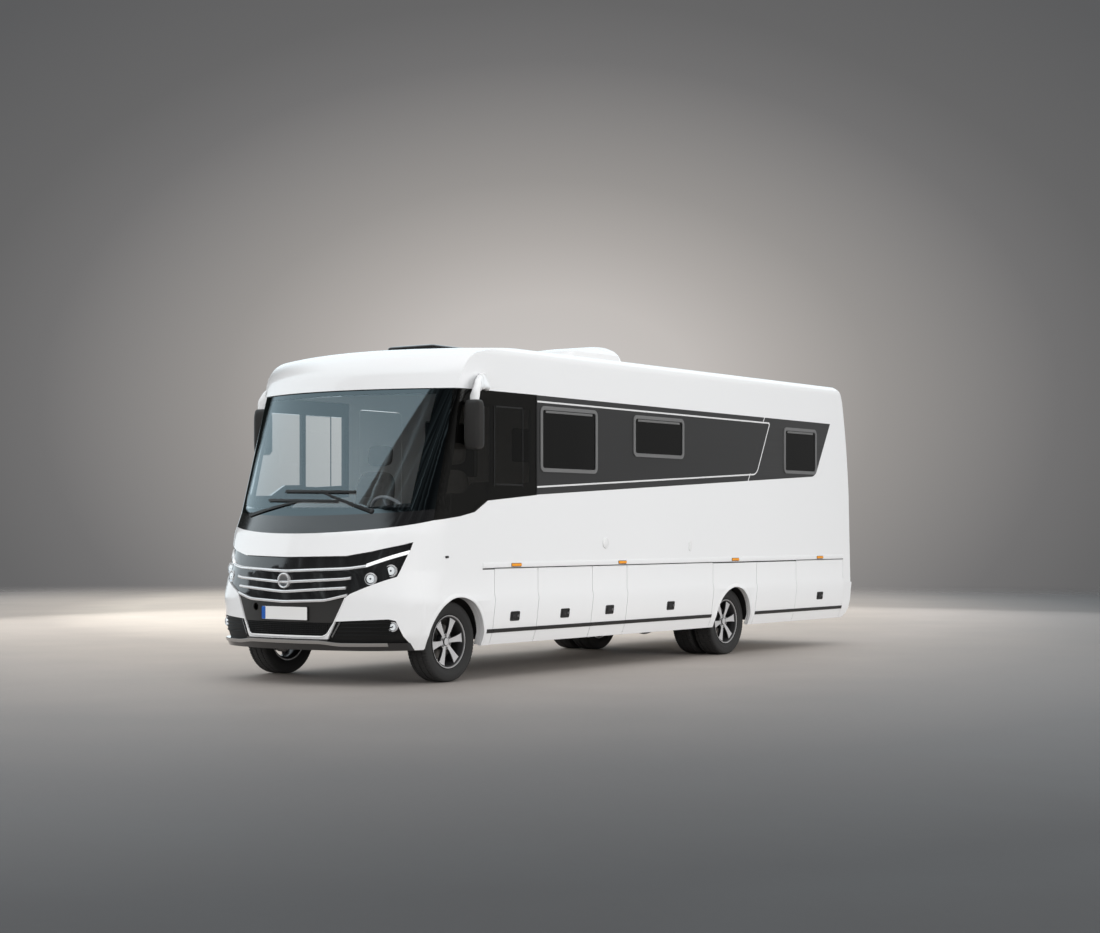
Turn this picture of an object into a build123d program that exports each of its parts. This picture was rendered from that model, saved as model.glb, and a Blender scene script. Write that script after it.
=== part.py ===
"""Integrated motorhome on a ladder chassis, in millimetres.

Frame: the front faces -Y, +X is the vehicle's left, +Z is up.  The origin is on the ground, on the
centre line, halfway between the bumper's nose and the tail.  Places along the body are given behind
the front axle and turned into frame places by along().
"""
import os
from math import atan2, cos, radians, sin, sqrt

from build123d import *

os.makedirs("parts", exist_ok=True)

# ---------------------------------------------------------------- driving dimensions
FRONT_OVERHANG = 1000
WHEELBASE = 4740
REAR_OVERHANG = 2690
HALF_WIDTH = 1140
ROOF_Z = 2950
ROOF_EDGE_RADIUS = 100
WALL = 38                 # sandwich wall, roof and moulded panels
GLASS = 8                 # bonded cab glass
SKIRT = 32                # flaps and lower panels
SEAM = 6                  # gap between neighbouring lower panels
BELT_Z = 982              # underside of the side walls and of the living floor
SKIRT_TOP_Z = 966         # top edge of flaps and lower panels
SKIRT_BOTTOM_Z = 303
LIP_Z = 2540              # lower edge of the roof cap and top of the cab glass
GLASS_END = 1147          # where the cab glass meets the sandwich wall
CAP_END = 1500            # where the roof cap meets the roof panel
MASK_SEAM = -454          # where the front mask meets the side walls

TYRE_RADIUS = 350
FRONT_TYRE_WIDTH = 225
REAR_TYRE_WIDTH = 215
BEAD_RADIUS = 206
RIM_LIP_RADIUS = 229
RIM_LIP = 12              # thickness of the rim's lips
BARREL_RADIUS = 192       # inside of the rim's barrel
WHEEL_CENTRE_X = 933      # middle of the single front tyre and of the outer rear tyre
TWIN_SPACING = 260
KINGPIN_X = 790
RUNNING_GAP = 0.3         # radial clearance of pins, spindles and hinge rods
SEAT_GAP = 0.3            # clearance of a shut flap or lid on its seat
FRONT_ARCH_RADIUS = 390
REAR_ARCH_RADIUS = 368

LENGTH = FRONT_OVERHANG + WHEELBASE + REAR_OVERHANG
FRONT_AXLE_Y = FRONT_OVERHANG - LENGTH / 2
FAR = 6000                # longer than any cut needs


def along(behind_front_axle):
    """Frame Y of a place given behind the front axle."""
    return FRONT_AXLE_Y + behind_front_axle


REAR_AXLE_Y = along(WHEELBASE)

# The front's plan at each height: nose behind the front axle, half width, nose and corner radius
FRONT_LEVELS = (
    {"z": 300, "nose": -955, "half": 1075, "nose_r": 1950, "corner_r": 640},
    {"z": 420, "nose": -983, "half": 1118, "nose_r": 1950, "corner_r": 640},
    {"z": 700, "nose": -985, "half": 1152, "nose_r": 1950, "corner_r": 610},
    {"z": 760, "nose": -985, "half": HALF_WIDTH, "nose_r": 1950, "corner_r": 610},
    {"z": 970, "nose": -968, "half": HALF_WIDTH, "nose_r": 1950, "corner_r": 760},
    {"z": 1290, "nose": -872, "half": HALF_WIDTH, "nose_r": 1800, "corner_r": 580},
    {"z": 1478, "nose": -780, "half": HALF_WIDTH, "nose_r": 1700, "corner_r": 470},
    {"z": LIP_Z, "nose": -310, "half": HALF_WIDTH, "nose_r": 2200, "corner_r": 120},
)

# Lower panels of each side between seams: start, end, kind
SKIRTS_LEFT = (
    (503, 1163, "flap"),
    (1163, 2048, "flap"),
    (2048, 2646, "flap"),
    (2646, 4278, "flap"),
    (4278, 5191, "arch"),
    (5191, 6079, "fixed"),
    (6079, 7212, "flap"),
)
SKIRTS_RIGHT = (
    (503, 1163, "flap"),
    (1163, 2048, "fixed"),
    (2048, 2646, "fixed"),
    (2646, 4278, "flap"),
    (4278, 5191, "arch"),
    (5191, 6480, "garage"),
    (6480, 7212, "fixed"),
)
GARAGE_TOP_Z = 1640
GARAGE_EDGE_Z = GARAGE_TOP_Z + BELT_Z - SKIRT_TOP_Z

# Windows in the sandwich walls: start, end, bottom, top
WINDOWS_LEFT = ((1194, 2124, 1845, 2445), (2753, 3694, 2028, 2433), (5791, 6551, 1933, 2438))
WINDOWS_RIGHT = ((2300, 3230, 1845, 2445), (3800, 4740, 2028, 2433), (5791, 6551, 1933, 2438))
WINDOW_CORNER = 60
DOOR = (1300, 1950, 790, 2490)   # entry door in the right wall: start, end, bottom, top
DOOR_GAP = 7
DOOR_CORNER = 50


# ---------------------------------------------------------------- shared outlines
def front_section(level, inset, height, back=GLASS_END):
    """Plan of the front at one level and height, drawn `inset` inside the outer skin."""
    half = level["half"] - inset
    nose_r = level["nose_r"] - inset
    corner_r = level["corner_r"] - inset
    nose_y = along(level["nose"]) + inset
    centre_y = nose_y + nose_r
    corner_x = half - corner_r
    corner_y = centre_y - sqrt((nose_r - corner_r) ** 2 - corner_x**2)
    turn = atan2(corner_y - centre_y, corner_x)
    meet = (nose_r * cos(turn), centre_y + nose_r * sin(turn))
    middle = (corner_x + corner_r * cos(turn / 2), corner_y + corner_r * sin(turn / 2))
    back_y = along(back)
    with BuildSketch(Plane.XY.offset(height)) as section:
        with BuildLine():
            Line((half, back_y), (half, corner_y))
            ThreePointArc((half, corner_y), middle, meet)
            ThreePointArc(meet, (0, nose_y), (-meet[0], meet[1]))
            ThreePointArc((-meet[0], meet[1]), (-middle[0], middle[1]), (-half, corner_y))
            Line((-half, corner_y), (-half, back_y))
            Line((-half, back_y), (half, back_y))
        make_face()
    return section.sketch


def front_form(inset, extra=0):
    """Solid of the whole front, `inset` inside the outer skin, `extra` taller at both ends."""
    heights = [level["z"] for level in FRONT_LEVELS]
    heights[0] -= extra
    heights[-1] += extra
    with BuildPart() as form:
        loft([front_section(level, inset, z) for level, z in zip(FRONT_LEVELS, heights)], ruled=True)
    return form.part


def front_layer(outer_inset, inner_inset):
    """Skin of the front between two insets, open above, below and behind."""
    with BuildPart() as layer:
        add(front_form(outer_inset))
        add(front_form(inner_inset, extra=5), mode=Mode.SUBTRACT)
    return layer.part


def side_prism(points, x_from, x_to):
    """Prism across X from an outline of (place behind front axle, z) points."""
    with BuildPart() as prism:
        with BuildSketch(Plane.YZ.offset(x_from)):
            with BuildLine():
                Polyline(*[(along(y), z) for y, z in points], close=True)
            make_face()
        extrude(amount=x_to - x_from)
    return prism.part


def front_prism(points, y_to=along(0)):
    """Prism along Y, mirrored about the centre line, from an outline of (x, z) points, x >= 0."""
    with BuildPart() as prism:
        with BuildSketch(Plane.XZ.offset(-y_to)):
            with BuildLine():
                Polyline(*points, close=True)
            make_face()
            mirror(about=Plane.YZ)
        extrude(amount=FAR)
    return prism.part


# Outside of the lower panels, from the belt down: x, z
SKIRT_PROFILE = ((HALF_WIDTH, 760), (1152, 700), (1118, 420), (1075, SKIRT_BOTTOM_Z))


def skirt_panel(start, end, top_z=SKIRT_TOP_Z):
    """Lower panel of the left side between two places, seams taken off."""
    outer = ((HALF_WIDTH, top_z), *SKIRT_PROFILE)
    inner = tuple((x - SKIRT, z) for x, z in reversed(outer))
    with BuildPart() as panel:
        with BuildSketch(Plane.XZ.offset(-along(end) + SEAM / 2)):
            with BuildLine():
                Polyline(*outer, *inner, close=True)
            make_face()
        extrude(amount=end - start - SEAM)
    return panel.part


def across(part):
    """The same piece on the other side."""
    return mirror(part, about=Plane.YZ)


def export(name, part):
    """Label a piece and write its STEP file."""
    part.label = name
    export_step(part, f"parts/{name}.step")


# ---------------------------------------------------------------- side walls
REAR_SEAM = 7215
CAB_SILL = ((-316, 1397), (13, 1434), (219, 1472), (407, 1573), (GLASS_END, 1632))
WALL_OUTLINE = (
    (MASK_SEAM, 290),
    (503 - SEAM / 2, 290),
    (503 - SEAM / 2, BELT_Z),
    (REAR_SEAM, BELT_Z),
    (REAR_SEAM - 10, 1700),
    (REAR_SEAM - 150, ROOF_Z - ROOF_EDGE_RADIUS),
    (CAP_END, ROOF_Z - ROOF_EDGE_RADIUS),
    (CAP_END, LIP_Z),
    (GLASS_END, LIP_Z),
    *reversed(CAB_SILL),
    (MASK_SEAM, 1369),
)
wall_skin = front_layer(0, WALL)


def window_hole(frame, margin):
    """Cutter for a window frame outline shrunk by a margin, on the left wall."""
    start, end, bottom, top = frame
    with BuildPart() as hole:
        with BuildSketch(Plane.YZ.offset(HALF_WIDTH - 3 * WALL)):
            with Locations((along((start + end) / 2), (bottom + top) / 2)):
                RectangleRounded(
                    end - start - 2 * margin, top - bottom - 2 * margin, WINDOW_CORNER - margin
                )
        extrude(amount=5 * WALL)
    return hole.part


WINDOW_FRAME = 22   # frame width that overlaps the wall

with BuildPart() as side_wall_left:
    add(wall_skin)
    with BuildSketch(Plane.YZ.offset(HALF_WIDTH - WALL)):
        with Locations((along((300 + REAR_SEAM) / 2), 1800)):
            Rectangle(REAR_SEAM - 300, 2400)
    extrude(amount=WALL)
    add(side_prism(WALL_OUTLINE, 300, 1300), mode=Mode.INTERSECT)
    with Locations(Plane(origin=(0, FRONT_AXLE_Y, TYRE_RADIUS), z_dir=(1, 0, 0))):
        Cylinder(FRONT_ARCH_RADIUS, 3000, mode=Mode.SUBTRACT)
    for frame in WINDOWS_LEFT:
        add(window_hole(frame, WINDOW_FRAME), mode=Mode.SUBTRACT)
export("side_wall_left", side_wall_left.part)

with BuildPart() as side_wall_right:
    add(across(wall_skin))
    with BuildSketch(Plane.YZ.offset(-HALF_WIDTH)):
        with Locations((along((300 + REAR_SEAM) / 2), 1800)):
            Rectangle(REAR_SEAM - 300, 2400)
    extrude(amount=WALL)
    add(side_prism(WALL_OUTLINE, -1300, -300), mode=Mode.INTERSECT)
    with Locations(Plane(origin=(0, FRONT_AXLE_Y, TYRE_RADIUS), z_dir=(1, 0, 0))):
        Cylinder(FRONT_ARCH_RADIUS, 3000, mode=Mode.SUBTRACT)
    for frame in WINDOWS_RIGHT:
        add(across(window_hole(frame, WINDOW_FRAME)), mode=Mode.SUBTRACT)
    with BuildSketch(Plane.YZ.offset(-HALF_WIDTH - WALL)):
        with Locations((along((DOOR[0] + DOOR[1]) / 2), (DOOR[2] + DOOR[3]) / 2)):
            RectangleRounded(DOOR[1] - DOOR[0], DOOR[3] - DOOR[2], DOOR_CORNER)
        garage_start, garage_end = SKIRTS_RIGHT[5][:2]
        with Locations((along((garage_start + garage_end) / 2), GARAGE_EDGE_Z / 2)):
            Rectangle(garage_end - garage_start + SEAM, GARAGE_EDGE_Z)
    extrude(amount=3 * WALL, mode=Mode.SUBTRACT)
export("side_wall_right", side_wall_right.part)


# ---------------------------------------------------------------- roof, cap and rear wall
def separate(pieces):
    """Pieces that touch but stay solids of their own."""
    return Compound([solid for piece in pieces for solid in piece.solids()])


def parted(solids, plane):
    """Every solid cut in two where the plane crosses it."""
    return [half for solid in solids for half in split(solid, bisect_by=plane, keep=Keep.BOTH).solids()]


def body_solid(inset, start, end, bottom):
    """Solid body section between two places, `inset` inside the skin, with rounded roof edges."""
    half = HALF_WIDTH - inset
    top = ROOF_Z - inset
    radius = ROOF_EDGE_RADIUS - inset
    with BuildPart() as body:
        with BuildSketch(Plane.XZ.offset(-along(end))):
            with BuildLine():
                Line((-half, bottom), (half, bottom))
                Line((half, bottom), (half, top - radius))
                RadiusArc((half, top - radius), (half - radius, top), -radius)
                Line((half - radius, top), (radius - half, top))
                RadiusArc((radius - half, top), (-half, top - radius), -radius)
                Line((-half, top - radius), (-half, bottom))
            make_face()
        extrude(amount=end - start)
    return body.part


SKYLIGHT_FRONT = {"start": 740, "end": 1400, "half": 260}
SKYLIGHT_REAR = {"start": 5300, "end": 5760, "half": 230}
ROOF_TAIL = 7050
with BuildPart() as roof_panel:
    add(body_solid(0, CAP_END, REAR_SEAM, LIP_Z))
    add(body_solid(WALL, CAP_END - 10, REAR_SEAM + 10, LIP_Z - 10), mode=Mode.SUBTRACT)
    split(bisect_by=Plane.XY.offset(ROOF_Z - ROOF_EDGE_RADIUS), keep=Keep.TOP)
    tail_cut = (
        (REAR_SEAM - 150, ROOF_Z - ROOF_EDGE_RADIUS),
        (ROOF_TAIL, ROOF_Z + 20),
        (REAR_SEAM + 20, ROOF_Z + 20),
        (REAR_SEAM + 20, ROOF_Z - ROOF_EDGE_RADIUS),
    )
    add(side_prism(tail_cut, -FAR, FAR), mode=Mode.SUBTRACT)
    with Locations((0, along((SKYLIGHT_REAR["start"] + SKYLIGHT_REAR["end"]) / 2), ROOF_Z)):
        Box(
            2 * SKYLIGHT_REAR["half"],
            SKYLIGHT_REAR["end"] - SKYLIGHT_REAR["start"],
            4 * WALL,
            mode=Mode.SUBTRACT,
        )

# Flat boards round the roof light, and edge profiles made of an upper and a lower half
EDGE_X = HALF_WIDTH - ROOF_EDGE_RADIUS
EDGE_Z = ROOF_Z - ROOF_EDGE_RADIUS
roof_solids = roof_panel.part.solids()
for side in (1, -1):
    roof_solids = parted(roof_solids, Plane(origin=(side * EDGE_X, 0, EDGE_Z), z_dir=(side, 0, 0)))
roof_boards = [solid for solid in roof_solids if abs(solid.center().X) < EDGE_X]
roof_edges = [solid for solid in roof_solids if abs(solid.center().X) > EDGE_X]
for place in (SKYLIGHT_REAR["start"], SKYLIGHT_REAR["end"]):
    roof_boards = parted(roof_boards, Plane(origin=(0, along(place), 0), z_dir=(0, 1, 0)))
for side in (1, -1):
    roof_edges = parted(roof_edges, Plane(origin=(side * EDGE_X, 0, EDGE_Z), z_dir=(-side, 0, 1)))
export("roof_panel", separate([*roof_boards, *roof_edges]))

# Roof cap seen from the side: set back from the lip, height, lean of the skin from upright
CAP_PROFILE = (
    {"back": 0, "z": LIP_Z, "lean": 14},
    {"back": 30, "z": 2658, "lean": 16},
    {"back": 100, "z": 2785, "lean": 42},
    {"back": 220, "z": 2867, "lean": 66},
    {"back": 520, "z": 2926, "lean": 82},
    {"back": 900, "z": ROOF_Z, "lean": 90},
)
CAP_LIP = {"z": LIP_Z, "nose": -322, "half": HALF_WIDTH, "nose_r": 2212, "corner_r": 125}
CAP_AXIS = CAP_LIP["nose"] + CAP_LIP["nose_r"]


def cap_form(inset):
    """Solid under the cap's skin: a turned visor trimmed by the body section and its plan."""
    places = [
        (
            along(CAP_LIP["nose"] + row["back"] + inset * cos(radians(row["lean"]))),
            row["z"] - inset * sin(radians(row["lean"])),
        )
        for row in CAP_PROFILE
    ]
    foot_z = LIP_Z - inset
    plan = dict(CAP_LIP, nose=CAP_LIP["nose"] - 3, nose_r=CAP_LIP["nose_r"] + 3)
    with BuildPart() as outline:
        extrude(front_section(plan, inset, foot_z - 5, back=CAP_END + inset), amount=600)
    with BuildPart() as form:
        with BuildSketch(Plane.YZ):
            with BuildLine():
                Line((along(CAP_AXIS), foot_z), (places[0][0], foot_z))
                if inset:
                    Line((places[0][0], foot_z), places[0])
                Line(places[0], places[1])
                ThreePointArc(places[1], places[2], places[3])
                ThreePointArc(places[3], places[4], places[5])
                Line(places[5], (along(CAP_AXIS), ROOF_Z - inset))
                Line((along(CAP_AXIS), ROOF_Z - inset), (along(CAP_AXIS), foot_z))
            make_face()
        revolve(axis=Axis((0, along(CAP_AXIS), 0), (0, 0, 1)))
        add(body_solid(inset, -600, CAP_END + inset, foot_z), mode=Mode.INTERSECT)
        add(outline.part, mode=Mode.INTERSECT)
    return form.part


with BuildPart() as roof_cap:
    add(cap_form(0))
    add(cap_form(WALL), mode=Mode.SUBTRACT)
    with Locations((0, along((SKYLIGHT_FRONT["start"] + SKYLIGHT_FRONT["end"]) / 2), ROOF_Z)):
        Box(
            2 * SKYLIGHT_FRONT["half"],
            SKYLIGHT_FRONT["end"] - SKYLIGHT_FRONT["start"],
            6 * WALL,
            mode=Mode.SUBTRACT,
        )
export("roof_cap", roof_cap.part)

REAR_WALL_BOTTOM = 712
TAIL_SKIN = ((7400, REAR_WALL_BOTTOM), (7357, 1700), (7285, 2300), (7190, 2780), (7135, 2900), (7080, ROOF_Z))
SEAM_LINE = (
    (REAR_SEAM, REAR_WALL_BOTTOM),
    (REAR_SEAM, BELT_Z),
    (REAR_SEAM - 10, 1700),
    (REAR_SEAM - 150, ROOF_Z - ROOF_EDGE_RADIUS),
    (ROOF_TAIL, ROOF_Z + 20),
)


def tail_solid(inset):
    """Solid under the rear wall's skin, open towards the body when it is inset."""
    skin = [(along(y - inset), z) for y, z in TAIL_SKIN]
    front = [(along(y - inset), z) for y, z in SEAM_LINE]
    top_z = ROOF_Z + 20
    low_z = REAR_WALL_BOTTOM + (inset if inset else 0)
    with BuildPart() as tail:
        with BuildSketch(Plane.YZ.offset(-HALF_WIDTH)):
            with BuildLine():
                Line(front[-1], (skin[-1][0], top_z))
                Line((skin[-1][0], top_z), skin[-1])
                Line(skin[-1], skin[-2])
                Line(skin[-2], skin[-3])
                ThreePointArc(skin[-3], skin[2], skin[1])
                Line(skin[1], skin[0])
                Line(skin[0], front[0])
                for lower, upper in zip(front, front[1:]):
                    Line(lower, upper)
            make_face()
        extrude(amount=2 * HALF_WIDTH)
        add(body_solid(inset, 6500, 7600, low_z), mode=Mode.INTERSECT)
    return tail.part


with BuildPart() as rear_wall:
    add(tail_solid(0))
    add(tail_solid(WALL), mode=Mode.SUBTRACT)
export("rear_wall", rear_wall.part)


# ---------------------------------------------------------------- lower panels, flaps and their hinges
HINGE_X = HALF_WIDTH - 4      # axis of the long hinges in the belt groove
HINGE_DROP = 13               # axis below the edge above it
TUBE_RADIUS = 5
ROD_RADIUS = 2.5
TONGUE = 3                    # width of the hangers that hold the hinge rods


def hinge_plane(start, top_z):
    """Plane at a flap's start, looking along the hinge axis under an edge at top_z."""
    return Plane(origin=(HINGE_X, along(start), top_z - HINGE_DROP), z_dir=(0, 1, 0))


def hinged_panel(start, end, edge_z):
    """Flap that hangs from a hinge tube under an edge, swung about the tube."""
    with BuildPart() as flap:
        add(skirt_panel(start, end, edge_z - (BELT_Z - SKIRT_TOP_Z)))
        tube = hinge_plane(start + SEAM / 2, edge_z)
        length = end - start - SEAM
        with Locations(tube):
            Cylinder(TUBE_RADIUS, length, align=(Align.CENTER, Align.CENTER, Align.MIN))
        with Locations(tube.offset(-1)):
            Cylinder(
                ROD_RADIUS + RUNNING_GAP,
                length + 2,
                align=(Align.CENTER, Align.CENTER, Align.MIN),
                mode=Mode.SUBTRACT,
            )
    return flap.part


def hinge_rod(start, end, edge_z, hangers):
    """Hinge rod with the tongues that hang it from the edge above."""
    with BuildPart() as rod:
        with Locations(hinge_plane(start - TONGUE / 2, edge_z)):
            Cylinder(ROD_RADIUS, end - start + TONGUE, align=(Align.CENTER, Align.CENTER, Align.MIN))
        for place in hangers:
            with Locations((HINGE_X, along(place), edge_z - HINGE_DROP / 2)):
                Box(2 * TUBE_RADIUS - 2, TONGUE, HINGE_DROP)
            with Locations(hinge_plane(place - TONGUE / 2, edge_z)):
                Cylinder(TUBE_RADIUS - 1, TONGUE, align=(Align.CENTER, Align.CENTER, Align.MIN))
    return rod.part


left_flaps = [row for row in SKIRTS_LEFT if row[2] == "flap"]
for number, (start, end, kind) in enumerate(left_flaps, 1):
    export(f"locker_flap_left_{number}", hinged_panel(start, end, BELT_Z))
right_flaps = [row for row in SKIRTS_RIGHT if row[2] == "flap"]
for number, (start, end, kind) in enumerate(right_flaps, 1):
    export(f"locker_flap_right_{number}", across(hinged_panel(start, end, BELT_Z)))
garage_row = next(row for row in SKIRTS_RIGHT if row[2] == "garage")
export("garage_door", across(hinged_panel(garage_row[0], garage_row[1], GARAGE_EDGE_Z)))

REAR_BUMPER = ((REAR_OVERHANG + WHEELBASE, 695), (7421, 498), (7370, 360), (7294, SKIRT_BOTTOM_Z))


def bumper_form(inset):
    """Solid under the rear bumper's skin, open ahead when it is inset."""
    front = along(REAR_SEAM - (inset if inset else 0))
    lower = [(along(y - inset), z) for y, z in REAR_BUMPER]
    section = [(x - inset, z) for x, z in ((HALF_WIDTH, REAR_WALL_BOTTOM), *SKIRT_PROFILE[2:])]
    with BuildPart() as form:
        with BuildSketch(Plane.XZ.offset(-along(REAR_OVERHANG + WHEELBASE + 20))):
            with BuildLine():
                Polyline(*section, *[(-x, z) for x, z in reversed(section)], close=True)
            make_face()
        extrude(amount=400)
        with BuildSketch(Plane.YZ.offset(-FAR / 2)):
            with BuildLine():
                Polyline((front, REAR_WALL_BOTTOM), (lower[0][0], REAR_WALL_BOTTOM), *lower,
                         (front, SKIRT_BOTTOM_Z), close=True)
            make_face()
        extrude(amount=FAR, mode=Mode.INTERSECT)
    return form.part


with BuildPart() as skirt_panels:
    for row in SKIRTS_LEFT:
        if row[2] in ("fixed", "arch"):
            add(skirt_panel(row[0], row[1], BELT_Z))
    for row in SKIRTS_RIGHT:
        if row[2] in ("fixed", "arch"):
            add(across(skirt_panel(row[0], row[1], BELT_Z)))
    with Locations(Plane(origin=(0, REAR_AXLE_Y, TYRE_RADIUS), z_dir=(1, 0, 0))):
        Cylinder(REAR_ARCH_RADIUS, 3000, mode=Mode.SUBTRACT)
    with BuildSketch(Plane.YZ.offset(-HALF_WIDTH - WALL)):
        with Locations((along((DOOR[0] + DOOR[1]) / 2), (DOOR[2] + DOOR[3]) / 2)):
            RectangleRounded(DOOR[1] - DOOR[0], DOOR[3] - DOOR[2], DOOR_CORNER)
    extrude(amount=3 * WALL, mode=Mode.SUBTRACT)
    add(bumper_form(0))
    add(bumper_form(SKIRT), mode=Mode.SUBTRACT)
export("skirt_panels", skirt_panels.part)


# ---------------------------------------------------------------- entry door
DOOR_AXIS_X = HALF_WIDTH + 9
DOOR_BARREL = 7
DOOR_HINGES = (1000, 1650, 2300)     # heights of the three hinges
BARREL_LENGTH = 50
LEAF = 3

with BuildPart() as entry_door:
    with BuildSketch(Plane.YZ.offset(-HALF_WIDTH)):
        with Locations((along((DOOR[0] + DOOR[1]) / 2), (DOOR[2] + DOOR[3]) / 2)):
            RectangleRounded(
                DOOR[1] - DOOR[0] - 2 * DOOR_GAP, DOOR[3] - DOOR[2] - 2 * DOOR_GAP, DOOR_CORNER - DOOR_GAP
            )
    extrude(amount=WALL)
    door_hinge_y = along(DOOR[0] + DOOR_GAP / 2)
    for height in DOOR_HINGES:
        with Locations((-HALF_WIDTH - LEAF / 2, door_hinge_y + 28, height)):
            Box(LEAF, 50, BARREL_LENGTH)
        with Locations((-DOOR_AXIS_X, door_hinge_y, height)):
            Cylinder(DOOR_BARREL, BARREL_LENGTH)
            Cylinder(3 + RUNNING_GAP, BARREL_LENGTH + 2, mode=Mode.SUBTRACT)
        with Locations((-DOOR_AXIS_X + 4, door_hinge_y + 7, height)):
            Box(8, 6, BARREL_LENGTH)
export("entry_door", entry_door.part)

with BuildPart() as hinge_rails:
    for table, side in ((SKIRTS_LEFT, 1), (SKIRTS_RIGHT, -1)):
        for start, end, kind in table:
            if kind in ("flap", "garage"):
                edge = GARAGE_EDGE_Z if kind == "garage" else BELT_Z
                rod = hinge_rod(start, end, edge, (start, end))
                add(rod if side > 0 else across(rod))
    for height in DOOR_HINGES:
        with Locations((-DOOR_AXIS_X, door_hinge_y, height)):
            Cylinder(3, BARREL_LENGTH + 30)
        for step in (-1, 1):
            knuckle_z = height + step * (BARREL_LENGTH / 2 + 0.5 + 8)
            with Locations((-DOOR_AXIS_X, door_hinge_y, knuckle_z)):
                Cylinder(DOOR_BARREL, 16)
            with Locations((-HALF_WIDTH - (DOOR_AXIS_X - HALF_WIDTH) / 2, door_hinge_y - 20, knuckle_z)):
                Box(DOOR_AXIS_X - HALF_WIDTH, 34, 16)
export("hinge_rails", hinge_rails.part)


# ---------------------------------------------------------------- floors, lockers and wheel houses
INNER = HALF_WIDTH - WALL
SHEET = 6
LOCKER_INNER_X = 520
LOCKER_FLOOR_Z = 352
FLOOR_THICK = 30
CAB_FLOOR_Z = 802
GARAGE_FRONT = 5197
GARAGE_FLOOR_Z = 452

STEP_WELL = {"start": 1290, "end": 1960, "inner": 640, "outer": 1100, "floor": 770, "sheet": 15}

LIVING_START = 474
GARAGE_END = REAR_SEAM - 20
GARAGE_HALF = HALF_WIDTH - SKIRT - 45
BED_Z = 1700
BOARD = 20
CAB_HALF = INNER - 120
ENGINE_BAY = {"half": 330, "end": 0}
WELL_IN = -STEP_WELL["inner"]
WELL_OUT = -STEP_WELL["outer"]
WELL_RIM = STEP_WELL["floor"] + STEP_WELL["sheet"]
WELL_START = STEP_WELL["start"] + STEP_WELL["sheet"]
WELL_END = STEP_WELL["end"] - STEP_WELL["sheet"]
WELL_EDGE = WELL_IN - STEP_WELL["sheet"]
FLOOR_Z = BELT_Z + FLOOR_THICK

# Boards and sheets of the floors: x from and to, start and end, underside and top
FLOOR_BOARDS = (
    (-INNER, INNER, LIVING_START, WELL_START, BELT_Z, FLOOR_Z),
    (WELL_EDGE, INNER, WELL_START, WELL_END, BELT_Z, FLOOR_Z),
    (-INNER, INNER, WELL_END, GARAGE_FRONT, BELT_Z, FLOOR_Z),
    (WELL_OUT, WELL_IN, STEP_WELL["start"], STEP_WELL["end"], STEP_WELL["floor"], WELL_RIM),
    (WELL_EDGE, WELL_IN, STEP_WELL["start"], STEP_WELL["end"], WELL_RIM, BELT_Z),
    (WELL_OUT, WELL_EDGE, STEP_WELL["start"], WELL_START, WELL_RIM, BELT_Z),
    (WELL_OUT, WELL_EDGE, WELL_END, STEP_WELL["end"], WELL_RIM, BELT_Z),
    (-CAB_HALF, CAB_HALF, LIVING_START - BOARD, LIVING_START, CAB_FLOOR_Z, FLOOR_Z),
    (-CAB_HALF, CAB_HALF, ENGINE_BAY["end"], LIVING_START - BOARD, CAB_FLOOR_Z, CAB_FLOOR_Z + BOARD),
    (ENGINE_BAY["half"], CAB_HALF, LIVING_START - 900, ENGINE_BAY["end"], CAB_FLOOR_Z, CAB_FLOOR_Z + BOARD),
    (-CAB_HALF, -ENGINE_BAY["half"], LIVING_START - 900, ENGINE_BAY["end"], CAB_FLOOR_Z, CAB_FLOOR_Z + BOARD),
    (-GARAGE_HALF, GARAGE_HALF, GARAGE_FRONT, GARAGE_FRONT + BOARD, GARAGE_FLOOR_Z, BED_Z),
    (-GARAGE_HALF, GARAGE_HALF, GARAGE_FRONT + BOARD, GARAGE_END, GARAGE_FLOOR_Z, GARAGE_FLOOR_Z + BOARD),
    (-INNER, INNER, GARAGE_FRONT, GARAGE_END, BED_Z, BED_Z + BOARD),
)


def board(x_from, x_to, start, end, low_z, high_z):
    """Flat board or block between two places behind the front axle."""
    with BuildPart() as piece:
        with Locations(((x_from + x_to) / 2, along((start + end) / 2), (low_z + high_z) / 2)):
            Box(x_to - x_from, end - start, high_z - low_z)
    return piece.part


export("floor_structure", separate([board(*row) for row in FLOOR_BOARDS]))


LOCKERS_START = 503 + SEAM / 2 + 9    # middle of the foremost bulkhead


def bulkhead(place, top_z=BELT_Z, inner_x=LOCKER_INNER_X):
    """Sheet across one locker seam, its edge following the panels' inside."""
    reach = SKIRT + SEAT_GAP
    with BuildPart() as sheet:
        with BuildSketch(Plane.XZ.offset(-along(place) - 3 * SHEET / 2)):
            with BuildLine():
                Polyline(
                    (inner_x, LOCKER_FLOOR_Z),
                    (1088 - reach, LOCKER_FLOOR_Z),
                    (1118 - reach, 420),
                    (1152 - reach, 700),
                    (HALF_WIDTH - reach, 760),
                    (HALF_WIDTH - reach, SKIRT_TOP_Z),
                    (HALF_WIDTH - reach - 8, top_z),
                    (inner_x, top_z),
                    close=True,
                )
            make_face()
        extrude(amount=3 * SHEET)
    return sheet.part


def locker_box(start, end):
    """Floor and inner wall of a run of lockers on the left side."""
    with BuildPart() as box:
        middle = along((start + end) / 2)
        floor_width = 1088 - SKIRT - SEAT_GAP - LOCKER_INNER_X
        with Locations((LOCKER_INNER_X + floor_width / 2, middle, LOCKER_FLOOR_Z + SHEET / 2)):
            Box(floor_width, end - start, SHEET)
        with Locations((LOCKER_INNER_X + SHEET / 2, middle, (LOCKER_FLOOR_Z + BELT_Z) / 2)):
            Box(SHEET, end - start, BELT_Z - LOCKER_FLOOR_Z)
    return box.part


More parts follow.
